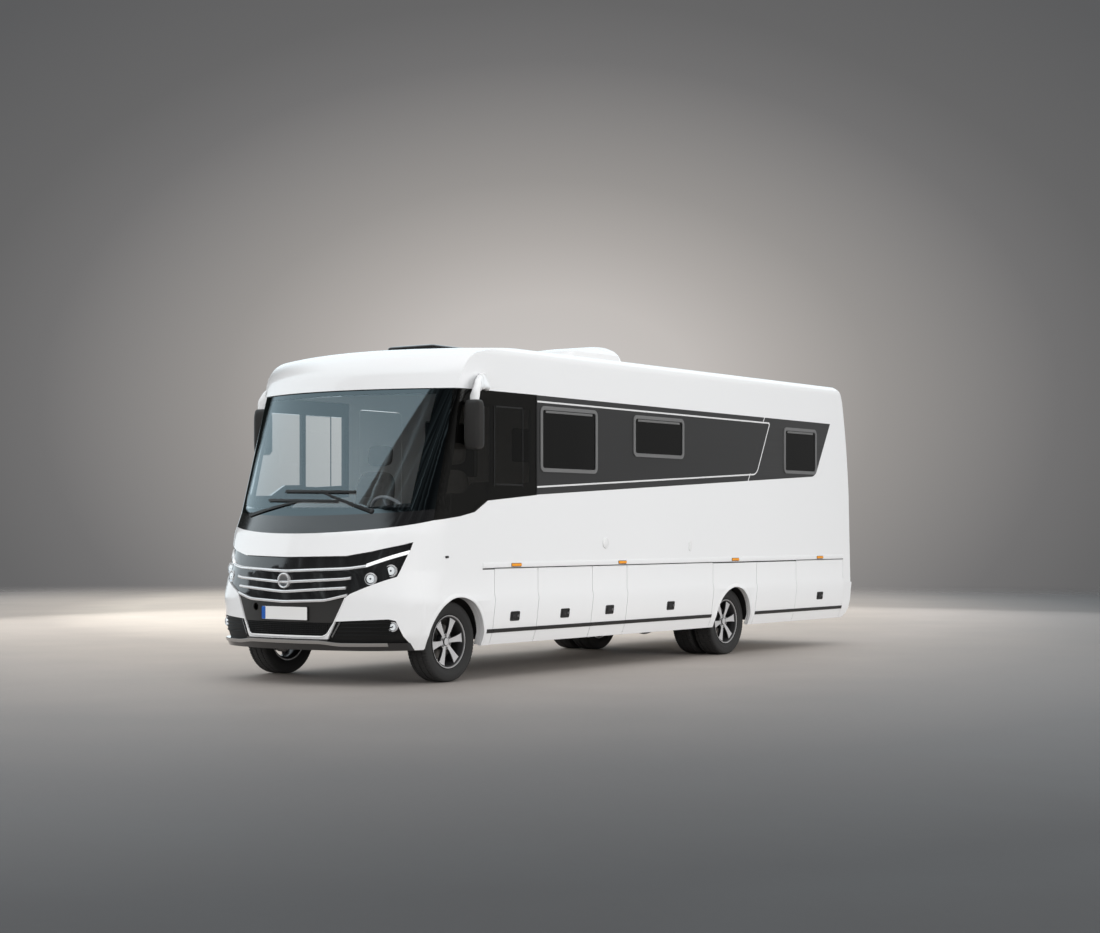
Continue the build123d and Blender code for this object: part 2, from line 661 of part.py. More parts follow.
with BuildPart() as locker_boxes:
    for start, end in ((LOCKERS_START, 4278),):
        add(locker_box(start, end))
    for start, end in ((LOCKERS_START, 1163), (2048, 4278)):
        add(across(locker_box(start, end)))
    for place in (LOCKERS_START, 1163, 2048, 2646, 4278):
        add(bulkhead(place))
        add(across(bulkhead(place)))
export("locker_boxes", locker_boxes.part)

HOUSE_FRONT_RADIUS = 440
HOUSE_REAR_RADIUS = 404


def wheel_house(centre_y, radius, inner_x, outer_x):
    """Half-round liner over one wheel place on the left side."""
    with BuildPart() as house:
        with BuildSketch(Plane.YZ.offset(inner_x)):
            with Locations((centre_y, TYRE_RADIUS)):
                Circle(radius + SHEET)
                Circle(radius, mode=Mode.SUBTRACT)
                with Locations((0, -radius)):
                    Rectangle(3 * radius, 2 * radius, mode=Mode.SUBTRACT)
        extrude(amount=outer_x - inner_x)
    return house.part


with BuildPart() as wheel_houses:
    front_house = wheel_house(FRONT_AXLE_Y, HOUSE_FRONT_RADIUS, 500, 1000)
    rear_house = wheel_house(REAR_AXLE_Y, HOUSE_REAR_RADIUS, 535, 1058)
    for house in (front_house, rear_house):
        add(house)
        add(across(house))
    house_tops = (
        (FRONT_AXLE_Y, 500, 1000, TYRE_RADIUS + HOUSE_FRONT_RADIUS, CAB_FLOOR_Z),
        (REAR_AXLE_Y, 535, 1058, TYRE_RADIUS + HOUSE_REAR_RADIUS, BELT_Z),
    )
    for centre_y, inner_x, outer_x, low_z, high_z in house_tops:
        for side in (-1, 1):
            with Locations((side * (inner_x + outer_x) / 2, centre_y, (low_z + high_z) / 2)):
                Box(outer_x - inner_x, 40, high_z - low_z)
export("wheel_houses", wheel_houses.part)


# ---------------------------------------------------------------- chassis and engine
RAIL_X = 430
RAIL_LOW_Z = 480
RAIL_HIGH_Z = 640
RAIL_FLANGE = 60
RAIL_SHEET = 7
RAIL_START = -780
RAIL_END = 5188
TAIL_LOW_Z = 330
TAIL_HIGH_Z = 452
TAIL_END = 7120
CROSS_MEMBERS = (800, 1800, 3100, 4130)


def channel(start, end, low_z, high_z):
    """C-section rail on the left side with its flanges turned inwards."""
    with BuildPart() as rail:
        with BuildSketch(Plane.XZ.offset(-along(end))):
            with Locations((RAIL_X, (low_z + high_z) / 2)):
                Rectangle(RAIL_FLANGE, high_z - low_z, align=(Align.MAX, Align.CENTER))
            with Locations((RAIL_X - RAIL_SHEET, (low_z + high_z) / 2)):
                Rectangle(
                    RAIL_FLANGE,
                    high_z - low_z - 2 * RAIL_SHEET,
                    align=(Align.MAX, Align.CENTER),
                    mode=Mode.SUBTRACT,
                )
        extrude(amount=end - start)
    return rail.part


TOW_PLATE = {"y": 6980, "depth": 200, "thick": 10, "hole_r": 6.5, "spacing_x": 200, "spacing_y": 120}
TOW_SOCKET = {"x": 360, "z": 655, "radius": 11, "length": 50}
JACK_PADS_Y = (700, 4000)
JACK_PAD_Z = 468

WEB_X = RAIL_X - RAIL_SHEET
CROSS_DEPTH = 50
TAIL_MEMBERS = (RAIL_END - 200, 6300, TAIL_END - 30)
TAIL_OVERLAP = 300                   # length over which the tail rails hang under the main rails

chassis_pieces = []
for rail in (
    channel(RAIL_START + CROSS_DEPTH, RAIL_END, RAIL_LOW_Z, RAIL_HIGH_Z),
    channel(RAIL_END - TAIL_OVERLAP, TAIL_END, TAIL_LOW_Z, TAIL_HIGH_Z),
):
    chassis_pieces += [rail, across(rail)]
for inner, outer in ((RAIL_X - RAIL_FLANGE, RAIL_X), (-RAIL_X, RAIL_FLANGE - RAIL_X)):
    chassis_pieces.append(board(inner, outer, RAIL_END - TAIL_OVERLAP, RAIL_END, TAIL_HIGH_Z, RAIL_LOW_Z))
    for place in JACK_PADS_Y:
        chassis_pieces.append(board(inner, outer, place - 60, place + 60, JACK_PAD_Z, RAIL_LOW_Z))
for place in CROSS_MEMBERS:
    chassis_pieces.append(
        board(-WEB_X, WEB_X, place - 25, place + 25, RAIL_LOW_Z + RAIL_SHEET, RAIL_HIGH_Z - RAIL_SHEET)
    )
for place in TAIL_MEMBERS:
    chassis_pieces.append(
        board(-WEB_X, WEB_X, place - 30, place + 30, TAIL_LOW_Z + RAIL_SHEET, TAIL_HIGH_Z - RAIL_SHEET)
    )
chassis_pieces.append(
    board(-RAIL_X - 30, RAIL_X + 30, RAIL_START, RAIL_START + CROSS_DEPTH, RAIL_LOW_Z, RAIL_HIGH_Z)
)
with BuildPart() as tow_socket:
    with Locations((-TOW_SOCKET["x"], along(RAIL_START), RAIL_HIGH_Z)):
        Box(70, TOW_SOCKET["length"], 50, align=(Align.CENTER, Align.MIN, Align.MIN))
    with Locations(Plane(origin=(-TOW_SOCKET["x"], along(RAIL_START), TOW_SOCKET["z"]), z_dir=(0, -1, 0))):
        Cylinder(TOW_SOCKET["radius"], 4 * TOW_SOCKET["length"], mode=Mode.SUBTRACT)
chassis_pieces.append(tow_socket.part)
with BuildPart() as tow_plate:
    with Locations((0, along(TOW_PLATE["y"]), TAIL_LOW_Z - TOW_PLATE["thick"] / 2)):
        Box(2 * RAIL_X, TOW_PLATE["depth"], TOW_PLATE["thick"])
        with GridLocations(TOW_PLATE["spacing_x"], TOW_PLATE["spacing_y"], 2, 2):
            Hole(TOW_PLATE["hole_r"], depth=30)
chassis_pieces.append(tow_plate.part)
export("chassis_frame", separate(chassis_pieces))

ENGINE = {"y": -390, "z": 700, "width": 560, "length": 640, "height": 500, "mount_z": 560}
with BuildPart() as engine_block:
    with Locations((0, along(ENGINE["y"]), ENGINE["z"])):
        Box(ENGINE["width"], ENGINE["length"], ENGINE["height"])
    with Locations((0, along(ENGINE["y"]), ENGINE["mount_z"])):
        Box(2 * (RAIL_X - RAIL_SHEET), 80, 60)
    with Locations(Plane(origin=(0, along(-100), 615), z_dir=(0, 1, 0))):
        Cylinder(140, 670, align=(Align.CENTER, Align.CENTER, Align.MIN))
export("engine_block", engine_block.part)


# ---------------------------------------------------------------- axles and knuckles
EYE_RADIUS = 34
PIN_RADIUS = 15
LOWER_EYE = (222, 254)
UPPER_EYE = (456, 484)
SPINDLE_RADIUS = 28
REAR_SPINDLE_RADIUS = 40
HUB_END_X = 984

with BuildPart() as front_axle:
    with Locations((0, FRONT_AXLE_Y, 370)):
        Box(2 * 480, 150, 100)
    for side in (-1, 1):
        with Locations((side * (RAIL_X - 10), FRONT_AXLE_Y, 450)):
            Box(40, 150, 60)
        for eye, root in ((LOWER_EYE, (330, 380)), (UPPER_EYE, (560, 620))):
            with BuildSketch(Plane.XZ.offset(-FRONT_AXLE_Y - 30)):
                with BuildLine():
                    Polyline(
                        (side * RAIL_X, root[0]),
                        (side * KINGPIN_X, eye[0]),
                        (side * KINGPIN_X, eye[1]),
                        (side * (KINGPIN_X - 60), eye[1]),
                        (side * RAIL_X, root[1]),
                        close=True,
                    )
                make_face()
            extrude(amount=60)
            with Locations((side * KINGPIN_X, FRONT_AXLE_Y, eye[0])):
                Cylinder(EYE_RADIUS, eye[1] - eye[0], align=(Align.CENTER, Align.CENTER, Align.MIN))
                Cylinder(
                    PIN_RADIUS + RUNNING_GAP,
                    eye[1] - eye[0],
                    align=(Align.CENTER, Align.CENTER, Align.MIN),
                    mode=Mode.SUBTRACT,
                )
export("front_axle", front_axle.part)

with BuildPart() as knuckle_left:
    with Locations((KINGPIN_X, FRONT_AXLE_Y, LOWER_EYE[0] + 2)):
        Cylinder(
            PIN_RADIUS, UPPER_EYE[1] - LOWER_EYE[0] - 4, align=(Align.CENTER, Align.CENTER, Align.MIN)
        )
    upright_low = LOWER_EYE[1] + SEAT_GAP
    upright_high = UPPER_EYE[0] - SEAT_GAP
    with Locations((KINGPIN_X + 8, FRONT_AXLE_Y, (upright_low + upright_high) / 2)):
        Box(60, 64, upright_high - upright_low)
    with Locations(Plane(origin=(KINGPIN_X, FRONT_AXLE_Y, TYRE_RADIUS), z_dir=(1, 0, 0))):
        Cylinder(SPINDLE_RADIUS, HUB_END_X - KINGPIN_X, align=(Align.CENTER, Align.CENTER, Align.MIN))
        Cylinder(48, 60, align=(Align.CENTER, Align.CENTER, Align.MIN))
    with Locations((KINGPIN_X + 4, FRONT_AXLE_Y + 95, 300)):
        Box(30, 140, 24)
export("knuckle_left", knuckle_left.part)
export("knuckle_right", across(knuckle_left.part))

SPRING_X = RAIL_X + 62
SPRING_REACH = 440
with BuildPart() as rear_axle:
    axle_line = Plane(origin=(0, REAR_AXLE_Y, TYRE_RADIUS), z_dir=(1, 0, 0))
    with Locations(axle_line):
        Cylinder(62, 2 * 520)
        Cylinder(REAR_SPINDLE_RADIUS, 2 * HUB_END_X)
    with Locations((0, REAR_AXLE_Y, TYRE_RADIUS)):
        Sphere(165)
    with Locations(Plane(origin=(0, REAR_AXLE_Y, TYRE_RADIUS + 15), z_dir=(0, 1, 0))):
        Cylinder(60, 260, align=(Align.CENTER, Align.CENTER, Align.MAX))
    spring_low = TYRE_RADIUS + 58
    spring_end = RAIL_LOW_Z - 5
    for side in (-1, 1):
        with BuildSketch(Plane.YZ.offset(side * SPRING_X - 25)):
            with BuildLine():
                Polyline(
                    (REAR_AXLE_Y - SPRING_REACH, spring_end),
                    (REAR_AXLE_Y, spring_low),
                    (REAR_AXLE_Y + SPRING_REACH, spring_end),
                    (REAR_AXLE_Y + SPRING_REACH, spring_end + 12),
                    (REAR_AXLE_Y, spring_low + 34),
                    (REAR_AXLE_Y - SPRING_REACH, spring_end + 12),
                    close=True,
                )
            make_face()
        extrude(amount=50)
        for end in (-1, 1):
            with Locations((side * (SPRING_X + RAIL_X + 25) / 2, REAR_AXLE_Y + end * (SPRING_REACH - 20), 505)):
                Box(SPRING_X - RAIL_X + 25, 40, 70)
export("rear_axle", rear_axle.part)


# ---------------------------------------------------------------- wheels and tyres
def wheel_line(centre_y, x):
    """Plane on a wheel's axis at x, its normal outwards on the left side."""
    return Plane(origin=(x, centre_y, TYRE_RADIUS), x_dir=(0, 1, 0), z_dir=(1, 0, 0))


def tyre(centre_y, centre_x, width, bead_half):
    """Tyre with a rounded shoulder and bulged side walls, its beads at bead_half from the middle."""
    half = width / 2
    profile = (
        (BEAD_RADIUS, -bead_half),
        (RIM_LIP_RADIUS + 2, -bead_half),
        (RIM_LIP_RADIUS + 12, -half + 6),
        (285, -half),
        (TYRE_RADIUS - 22, -half + 8),
        (TYRE_RADIUS, -half + 34),
    )
    outline = [*profile, *[(r, -w) for r, w in reversed(profile)]]
    with BuildPart() as ring:
        with BuildSketch(Plane(origin=(centre_x, centre_y, TYRE_RADIUS), x_dir=(0, 0, 1), z_dir=(0, -1, 0))):
            with BuildLine():
                Polyline(*outline, close=True)
            make_face()
        revolve(axis=Axis((centre_x, centre_y, TYRE_RADIUS), (1, 0, 0)))
    return ring.part


def barrel(centre_y, centre_x, width):
    """Rim barrel: bead seats with a lip at each edge."""
    half = width / 2
    outline = (
        (BARREL_RADIUS, -half),
        (RIM_LIP_RADIUS, -half),
        (RIM_LIP_RADIUS, -half + RIM_LIP),
        (BEAD_RADIUS, -half + RIM_LIP),
        (BEAD_RADIUS, half - RIM_LIP),
        (RIM_LIP_RADIUS, half - RIM_LIP),
        (RIM_LIP_RADIUS, half),
        (BARREL_RADIUS, half),
    )
    with BuildPart() as ring:
        with BuildSketch(Plane(origin=(centre_x, centre_y, TYRE_RADIUS), x_dir=(0, 0, 1), z_dir=(0, -1, 0))):
            with BuildLine():
                Polyline(*outline, close=True)
            make_face()
        revolve(axis=Axis((centre_x, centre_y, TYRE_RADIUS), (1, 0, 0)))
    return ring.part


SPOKES = 6
SPOKE_FACE_X = 1004
RIM_WIDTH = 184


def spoked_face(centre_y, hub_depth, bore_radius):
    """Six-spoke face with its hub on the outer side of a left wheel."""
    face = wheel_line(centre_y, SPOKE_FACE_X)
    with BuildPart() as star:
        with BuildSketch(face):
            Circle(72)
            with PolarLocations(0, SPOKES, start_angle=30):
                with Locations((128, 0)):
                    Rectangle(140, 62)
        extrude(amount=-34)
        with Locations(face):
            Cylinder(78, hub_depth, align=(Align.CENTER, Align.CENTER, Align.MAX))
        with Locations(face.offset(HUB_END_X + 3 - SPOKE_FACE_X)):
            Cylinder(
                bore_radius,
                hub_depth,
                align=(Align.CENTER, Align.CENTER, Align.MAX),
                mode=Mode.SUBTRACT,
            )
    return star.part


with BuildPart() as front_rim:
    add(barrel(FRONT_AXLE_Y, WHEEL_CENTRE_X, RIM_WIDTH))
    add(spoked_face(FRONT_AXLE_Y, 120, SPINDLE_RADIUS + RUNNING_GAP))
export("front_rim_left", front_rim.part)
export("front_rim_right", across(front_rim.part))

with BuildPart() as rear_rims:
    add(barrel(REAR_AXLE_Y, WHEEL_CENTRE_X, RIM_WIDTH))
    add(barrel(REAR_AXLE_Y, WHEEL_CENTRE_X - TWIN_SPACING, RIM_WIDTH))
    add(spoked_face(REAR_AXLE_Y, 300, REAR_SPINDLE_RADIUS + RUNNING_GAP))
    with Locations(wheel_line(REAR_AXLE_Y, 740)):
        Cylinder(200, 16)
        Cylinder(REAR_SPINDLE_RADIUS + RUNNING_GAP, 40, mode=Mode.SUBTRACT)
export("rear_rims_left", rear_rims.part)
export("rear_rims_right", across(rear_rims.part))

BEAD_HALF = RIM_WIDTH / 2 - RIM_LIP
front_tyre = tyre(FRONT_AXLE_Y, WHEEL_CENTRE_X, FRONT_TYRE_WIDTH, BEAD_HALF)
export("front_tyre_left", front_tyre)
export("front_tyre_right", across(front_tyre))
with BuildPart() as rear_tyres:
    add(tyre(REAR_AXLE_Y, WHEEL_CENTRE_X, REAR_TYRE_WIDTH, BEAD_HALF))
    add(tyre(REAR_AXLE_Y, WHEEL_CENTRE_X - TWIN_SPACING, REAR_TYRE_WIDTH, BEAD_HALF))
export("rear_tyres_left", rear_tyres.part)
export("rear_tyres_right", across(rear_tyres.part))


# ---------------------------------------------------------------- front mask, bumper and grille
AHEAD = -1200                 # a place ahead of the whole vehicle
GRILLE_TOP = ((0, 1086), (576, 1097), (776, 1135), (974, 1190), (1034, 1214), (1024, 1150))
LAMP_OUTER = ((1018, 1127), (1006, 1081), (970, 922), (652, 779))
SHIELD_SIDE = ((606, 742), (504, 533), (431, 422), (0, 422))
SHIELD_TOP = ((0, 695), (431, 711), (606, 742))
FOG_TOP = ((450, 395), (462, 418), (522, 545), (653, 552), (939, 567), (980, 553), (1026, 366))
LIP_TOP = ((0, 395), (450, 395), (479, 366), (1030, 366))
INSERT_DEPTH = 16             # front face of the grille back, lamps and bumper grilles
INSERT_THICK = 16


def mask_top(y):
    """Height of the joint between mask and scuttle at a place behind the front axle."""
    return 1283 + 0.2 * (y + 885)


def glass_foot(y):
    """Height of the windshield's lower edge at a place behind the front axle."""
    return 1437 + 0.11 * (y + 811)


def pillar(z):
    """Place of the windshield's side edge at a height."""
    return -292 + 0.255 * (z - 1494)


def front_piece(outline, outer, inner):
    """Piece of the front's skin between two insets, cut to a mirrored front outline."""
    with BuildPart() as piece:
        add(front_layer(outer, inner))
        add(front_prism(outline, along(MASK_SEAM)), mode=Mode.INTERSECT)
    return piece.part


def band(line, height):
    """Closed outline of a bar of a given height round a centre line of (x, z) points."""
    upper = [(x, z + height / 2) for x, z in line]
    lower = [(x, z - height / 2) for x, z in reversed(line)]
    return (*upper, *lower)


with BuildPart() as front_mask:
    add(wall_skin)
    mask_side = ((AHEAD, 290), (MASK_SEAM, 290), (MASK_SEAM, mask_top(MASK_SEAM)), (AHEAD, mask_top(AHEAD)))
    add(side_prism(mask_side, -FAR, FAR), mode=Mode.INTERSECT)
    add(front_prism((*GRILLE_TOP, *LAMP_OUTER, *SHIELD_SIDE)), mode=Mode.SUBTRACT)
    add(front_prism(((440, 350), *FOG_TOP, (1026, 350))), mode=Mode.SUBTRACT)
    add(front_prism(((0, 290), *LIP_TOP, (LIP_TOP[-1][0], 290))), mode=Mode.SUBTRACT)
export("front_mask", front_mask.part)

# The lip's nose is the foremost point of the vehicle
low, high = FRONT_LEVELS[:2]
LIP_NOSE = low["nose"] + (high["nose"] - low["nose"]) * (LIP_TOP[0][1] - low["z"]) / (high["z"] - low["z"])
LIP_PROUD = FRONT_OVERHANG + LIP_NOSE
lip_outline = ((0, 300), *LIP_TOP, (LIP_TOP[-1][0], 300))
export("bumper_lip", front_piece(lip_outline, -LIP_PROUD, WALL))

SHIELD_DEPTH = 12
shield_outline = (*SHIELD_TOP, SHIELD_SIDE[1], (0, 533))
TOW_EYE = {"x": 360, "z": 655, "radius": 34}
with BuildPart() as plate_shield:
    add(front_piece(shield_outline, SHIELD_DEPTH, SHIELD_DEPTH + INSERT_THICK))
    with Locations(Plane(origin=(-TOW_EYE["x"], along(-900), TOW_EYE["z"]), z_dir=(0, -1, 0))):
        Cylinder(TOW_EYE["radius"], 600, mode=Mode.SUBTRACT)
export("plate_shield", plate_shield.part)

with BuildPart() as bumper_grilles:
    mesh_outline = ((0, 533), *SHIELD_SIDE[1:])
    add(front_piece(mesh_outline, INSERT_DEPTH, INSERT_DEPTH + INSERT_THICK))
    fog_outline = (*FOG_TOP, LIP_TOP[-2])
    add(front_piece(fog_outline, INSERT_DEPTH, INSERT_DEPTH + INSERT_THICK))
export("bumper_grilles", bumper_grilles.part)

LAMP_INNER = ((640, 1003), (759, 1032))
housing_outline = (*GRILLE_TOP, (1018, 1145), *reversed(LAMP_INNER), (652, 779), *reversed(SHIELD_TOP))
export("grille_housing", front_piece(housing_outline, INSERT_DEPTH, INSERT_DEPTH + INSERT_THICK))

BAR_HEIGHT = 22
BAR_FRONT = 2
GRILLE_BARS = (
    ((0, 966), (623, 992), (759, 1014)),
    ((0, 872), (604, 904)),
    ((0, 791), (607, 829)),
    ((0, 706), (431, 722), (622, 768)),
)
with BuildPart() as grille_bars:
    for line in GRILLE_BARS:
        add(front_piece(band(line, BAR_HEIGHT), BAR_FRONT, INSERT_DEPTH))
export("grille_bars", grille_bars.part)

STRIP_OUTLINE = ((759, 1025 - BAR_HEIGHT), (759, 1032), (1018, 1145), (1011, 1112))
export("daylight_strips", front_piece(STRIP_OUTLINE, BAR_FRONT, INSERT_DEPTH))

ROUND_LAMPS = ({"x": 797, "z": 905, "r": 40}, {"x": 921, "z": 972, "r": 40}, {"x": 951, "z": 503, "r": 34})
ROUND_LAMP_FRONT = 6
headlamp_outline = (*LAMP_INNER, (1018, 1145), *LAMP_OUTER)
export("headlamps", front_piece(headlamp_outline, INSERT_DEPTH, INSERT_DEPTH + INSERT_THICK))

with BuildPart() as round_lamps:
    add(front_layer(ROUND_LAMP_FRONT, INSERT_DEPTH))
    with BuildSketch(Plane.XZ.offset(-along(0))):
        for lamp in ROUND_LAMPS:
            with Locations((lamp["x"], lamp["z"]), (-lamp["x"], lamp["z"])):
                Circle(lamp["r"])
    extrude(amount=FAR, mode=Mode.INTERSECT)
export("round_lamps", round_lamps.part)


# ---------------------------------------------------------------- windshield, cab glass and their frame
PILLAR_FOOT = (-292, 1494)
SCREEN_SIDE = ((AHEAD, glass_foot(AHEAD)), PILLAR_FOOT, (pillar(LIP_Z), LIP_Z), (AHEAD, LIP_Z))
CAB_SIDE = (PILLAR_FOOT, *CAB_SILL, (GLASS_END, LIP_Z), (pillar(LIP_Z), LIP_Z))
FRAME_SIDE = ((AHEAD, glass_foot(AHEAD)), PILLAR_FOOT, *CAB_SILL, (GLASS_END, LIP_Z), (AHEAD, LIP_Z))
SCUTTLE_SIDE = ((AHEAD, mask_top(AHEAD)), CAB_SILL[0], PILLAR_FOOT, (AHEAD, glass_foot(AHEAD)))
SCREEN_OPENING = ((0, 1485), (600, 1500), (980, 1545), (985, 2490), (0, 2490))
QUARTER_OPENING = ((-165, 1628), (45, 1632), (240, 1732), (470, 1738), (470, 2400), (50, 2400))
SLIDER_OPENING = ((525, 1715), (1070, 1745), (1070, 2400), (525, 2400))

with BuildPart() as cab_frame:
    add(front_layer(GLASS, WALL))
    add(side_prism(FRAME_SIDE, -FAR, FAR), mode=Mode.INTERSECT)
    add(front_prism(SCREEN_OPENING), mode=Mode.SUBTRACT)
    for outline in (QUARTER_OPENING, SLIDER_OPENING):
        window = side_prism(outline, 800, 1300)
        add(window, mode=Mode.SUBTRACT)
        add(across(window), mode=Mode.SUBTRACT)
with BuildPart() as scuttle:
    add(wall_skin)
    add(side_prism(SCUTTLE_SIDE, -FAR, FAR), mode=Mode.INTERSECT)
with BuildPart() as framed_scuttle:
    add(cab_frame.part)
    add(scuttle.part)
export("cab_frame", framed_scuttle.part)

with BuildPart() as windshield:
    add(front_layer(0, GLASS))
    add(side_prism(SCREEN_SIDE, -FAR, FAR), mode=Mode.INTERSECT)
export("windshield", windshield.part)

with BuildPart() as cab_side_glass:
    add(front_layer(0, GLASS))
    add(side_prism(CAB_SIDE, -FAR, FAR), mode=Mode.INTERSECT)
export("cab_side_glass", cab_side_glass.part)


# ---------------------------------------------------------------- windows of the living space
FRAME_PROUD = 10
PANE = 6


def window_ring(frame, outer, inner, x_from, x_to):
    """Ring between two margins of a window outline on the left wall."""
    start, end, bottom, top = frame
    width = end - start
    height = top - bottom
    with BuildPart() as ring:
        with BuildSketch(Plane.YZ.offset(x_from)):
            with Locations((along((start + end) / 2), (bottom + top) / 2)):
                RectangleRounded(width - 2 * outer, height - 2 * outer, WINDOW_CORNER - outer)
                if inner:
                    RectangleRounded(
                        width - 2 * inner, height - 2 * inner, WINDOW_CORNER - inner, mode=Mode.SUBTRACT
                    )
        extrude(amount=x_to - x_from)
    return ring.part


RING_INNER = WINDOW_FRAME + 12
with BuildPart() as window_frames:
    for table, side in ((WINDOWS_LEFT, 1), (WINDOWS_RIGHT, -1)):
        for frame in table:
            flange = window_ring(frame, 0, RING_INNER, HALF_WIDTH, HALF_WIDTH + FRAME_PROUD)
            plug = window_ring(frame, WINDOW_FRAME, RING_INNER, HALF_WIDTH - WALL, HALF_WIDTH)
            for ring in (flange, plug):
                add(ring if side > 0 else across(ring))
export("window_frames", window_frames.part)

with BuildPart() as window_panes:
    for table, side in ((WINDOWS_LEFT, 1), (WINDOWS_RIGHT, -1)):
        for frame in table:
            pane = window_ring(frame, RING_INNER, 0, HALF_WIDTH - PANE, HALF_WIDTH)
            add(pane if side > 0 else across(pane))
export("window_panes", window_panes.part)


# ---------------------------------------------------------------- mirrors and wipers
MIRROR = {"x": 1235, "y": 83, "z": 2225, "width": 170, "depth": 107, "height": 430, "corner": 24}
ARM_RADIUS = 30
ARM_FOOT = (HALF_WIDTH, 310, 2600)
with BuildPart() as mirror_left:
    with Locations((MIRROR["x"], along(MIRROR["y"]), MIRROR["z"])):
        Box(MIRROR["width"], MIRROR["depth"], MIRROR["height"])
    fillet(mirror_left.edges().filter_by(Axis.Z), MIRROR["corner"])
    fillet(mirror_left.faces().sort_by(Axis.Z)[-1].edges(), MIRROR["corner"] - 4)
    with Locations((ARM_FOOT[0] + 4, along(ARM_FOOT[1]), ARM_FOOT[2])):
        Box(8, 130, 90)
    with BuildLine() as arm_path:
        Spline(
            (ARM_FOOT[0] + 4, along(ARM_FOOT[1]), ARM_FOOT[2]),
            (1195, along(205), 2608),
            (1232, along(110), 2560),
            (1235, along(83), 2430),
            tangents=((1, 0, 0), (0, 0, -1)),
        )
    with BuildSketch(arm_path.line ^ 0):
        Circle(ARM_RADIUS)
    sweep()
with BuildPart() as mirrors:
    add(mirror_left.part)
    add(across(mirror_left.part))
export("mirrors", mirrors.part)


def wiper_stroke(start, end, width):
    """Straight stroke across the front outline from one (x, z) point to another."""
    with BuildPart() as stroke:
        with BuildSketch(Plane.XZ.offset(-along(0))):
            with BuildLine():
                Line(start, end)
            trace(line_width=width)
        extrude(amount=FAR)
    return stroke.part


BLADE_HEIGHT = 14
WIPER_LAYER = (-16, -0.3)
WIPERS = (
    {"blade": ((-234, 1655), (519, 1640)), "arm": ((420, 1640), (688, 1477))},
    {"blade": ((-442, 1579), (386, 1563)), "arm": ((-250, 1575), (-685, 1448))},
)
PIVOT_RADIUS = 24
with BuildPart() as wipers:
    for wiper in WIPERS:
        for line in wiper.values():
            add(wiper_stroke(*line, BLADE_HEIGHT))
    add(front_layer(*WIPER_LAYER), mode=Mode.INTERSECT)
with BuildPart() as wiper_pivots:
    with BuildSketch(Plane.XZ.offset(-along(0))):
        for wiper in WIPERS:
            with Locations(wiper["arm"][1]):
                Circle(PIVOT_RADIUS)
    extrude(amount=FAR)
    add(front_layer(WIPER_LAYER[0], 0), mode=Mode.INTERSECT)
with BuildPart() as wipers_on_pivots:
    add(wipers.part)
    add(wiper_pivots.part)
export("wipers", wipers_on_pivots.part)


# ---------------------------------------------------------------- cab interior
DASH_SIDE = ((-780, 1020), (-780, 1330), (-330, 1372), (-190, 1330), (-190, 1150), (-300, 1020))
STEERING = {"x": 430, "y": -60, "z": 1440, "radius": 200, "rim": 15, "lean": 35}
with BuildPart() as dashboard:
    add(front_form(WALL))
    add(side_prism(DASH_SIDE, -FAR, FAR), mode=Mode.INTERSECT)
    wheel_plane = Plane(
        origin=(STEERING["x"], along(STEERING["y"]), STEERING["z"]),
        z_dir=(0, cos(radians(STEERING["lean"])), sin(radians(STEERING["lean"]))),
    )
    with Locations(wheel_plane):
        Torus(STEERING["radius"], STEERING["rim"])
        Cylinder(52, 30)
        Cylinder(30, 260, align=(Align.CENTER, Align.CENTER, Align.MAX))
        for turn in (0, 90, 180):
            with Locations(Location((0, 0, 0), (0, 0, turn))):
                with Locations((STEERING["radius"] / 2, 0, 0)):
                    Box(STEERING["radius"], 26, 14)
export("dashboard", dashboard.part)

SEAT_X = 430
CAB_FLOOR_TOP = CAB_FLOOR_Z + 20
with BuildPart() as cab_seats:
    for side in (-1, 1):
        with Locations((side * SEAT_X, along(260), CAB_FLOOR_TOP + 110)):
            Box(360, 360, 220)
        with Locations((side * SEAT_X, along(380), CAB_FLOOR_TOP + 285)):
            Box(500, 520, 130)
        with Locations(Plane(origin=(side * SEAT_X, along(600), CAB_FLOOR_TOP + 300), z_dir=(0, 0.17, 1))):
            Box(500, 120, 780, align=(Align.CENTER, Align.MIN, Align.MIN))
            with Locations((0, 15, 770)):
                Box(300, 90, 210, align=(Align.CENTER, Align.MIN, Align.MIN))
export("cab_seats", cab_seats.part)


# ---------------------------------------------------------------- roof gear
AIR_CONDITIONER = {"start": 2750, "end": 3920, "half": 330, "height": 250}
# Cover in layers: rise, front and rear drawn in, narrowing of each side, corner radius
COVER_LAYERS = (
    (0, 0, 0, 0, 150),
    (90, 50, 12, 12, 140),
    (167, 150, 40, 40, 120),
    (215, 450, 70, 80, 110),
    (AIR_CONDITIONER["height"], 770, 130, 150, 100),
)
with BuildPart() as air_conditioner:
    for rise, front_in, rear_in, narrowing, corner in COVER_LAYERS:
        start = AIR_CONDITIONER["start"] + front_in
        end = AIR_CONDITIONER["end"] - rear_in
        with BuildSketch(Plane.XY.offset(ROOF_Z + rise)):
            with Locations((0, along((start + end) / 2))):
                RectangleRounded(2 * (AIR_CONDITIONER["half"] - narrowing), end - start, corner)
    loft(ruled=True)
export("air_conditioner", air_conditioner.part)

FRAME_RISE = 40
LID_RISE = 46
LID_LAP = 20
LID_BARREL = 8
LID_ROD = 4
LID_BARRELS_X = (-150, 150)


def lid_axis(row):
    """Place and height of a roof lid's hinge."""
    return along(row["end"] + LID_LAP + 10), ROOF_Z + FRAME_RISE + SEAT_GAP + 20


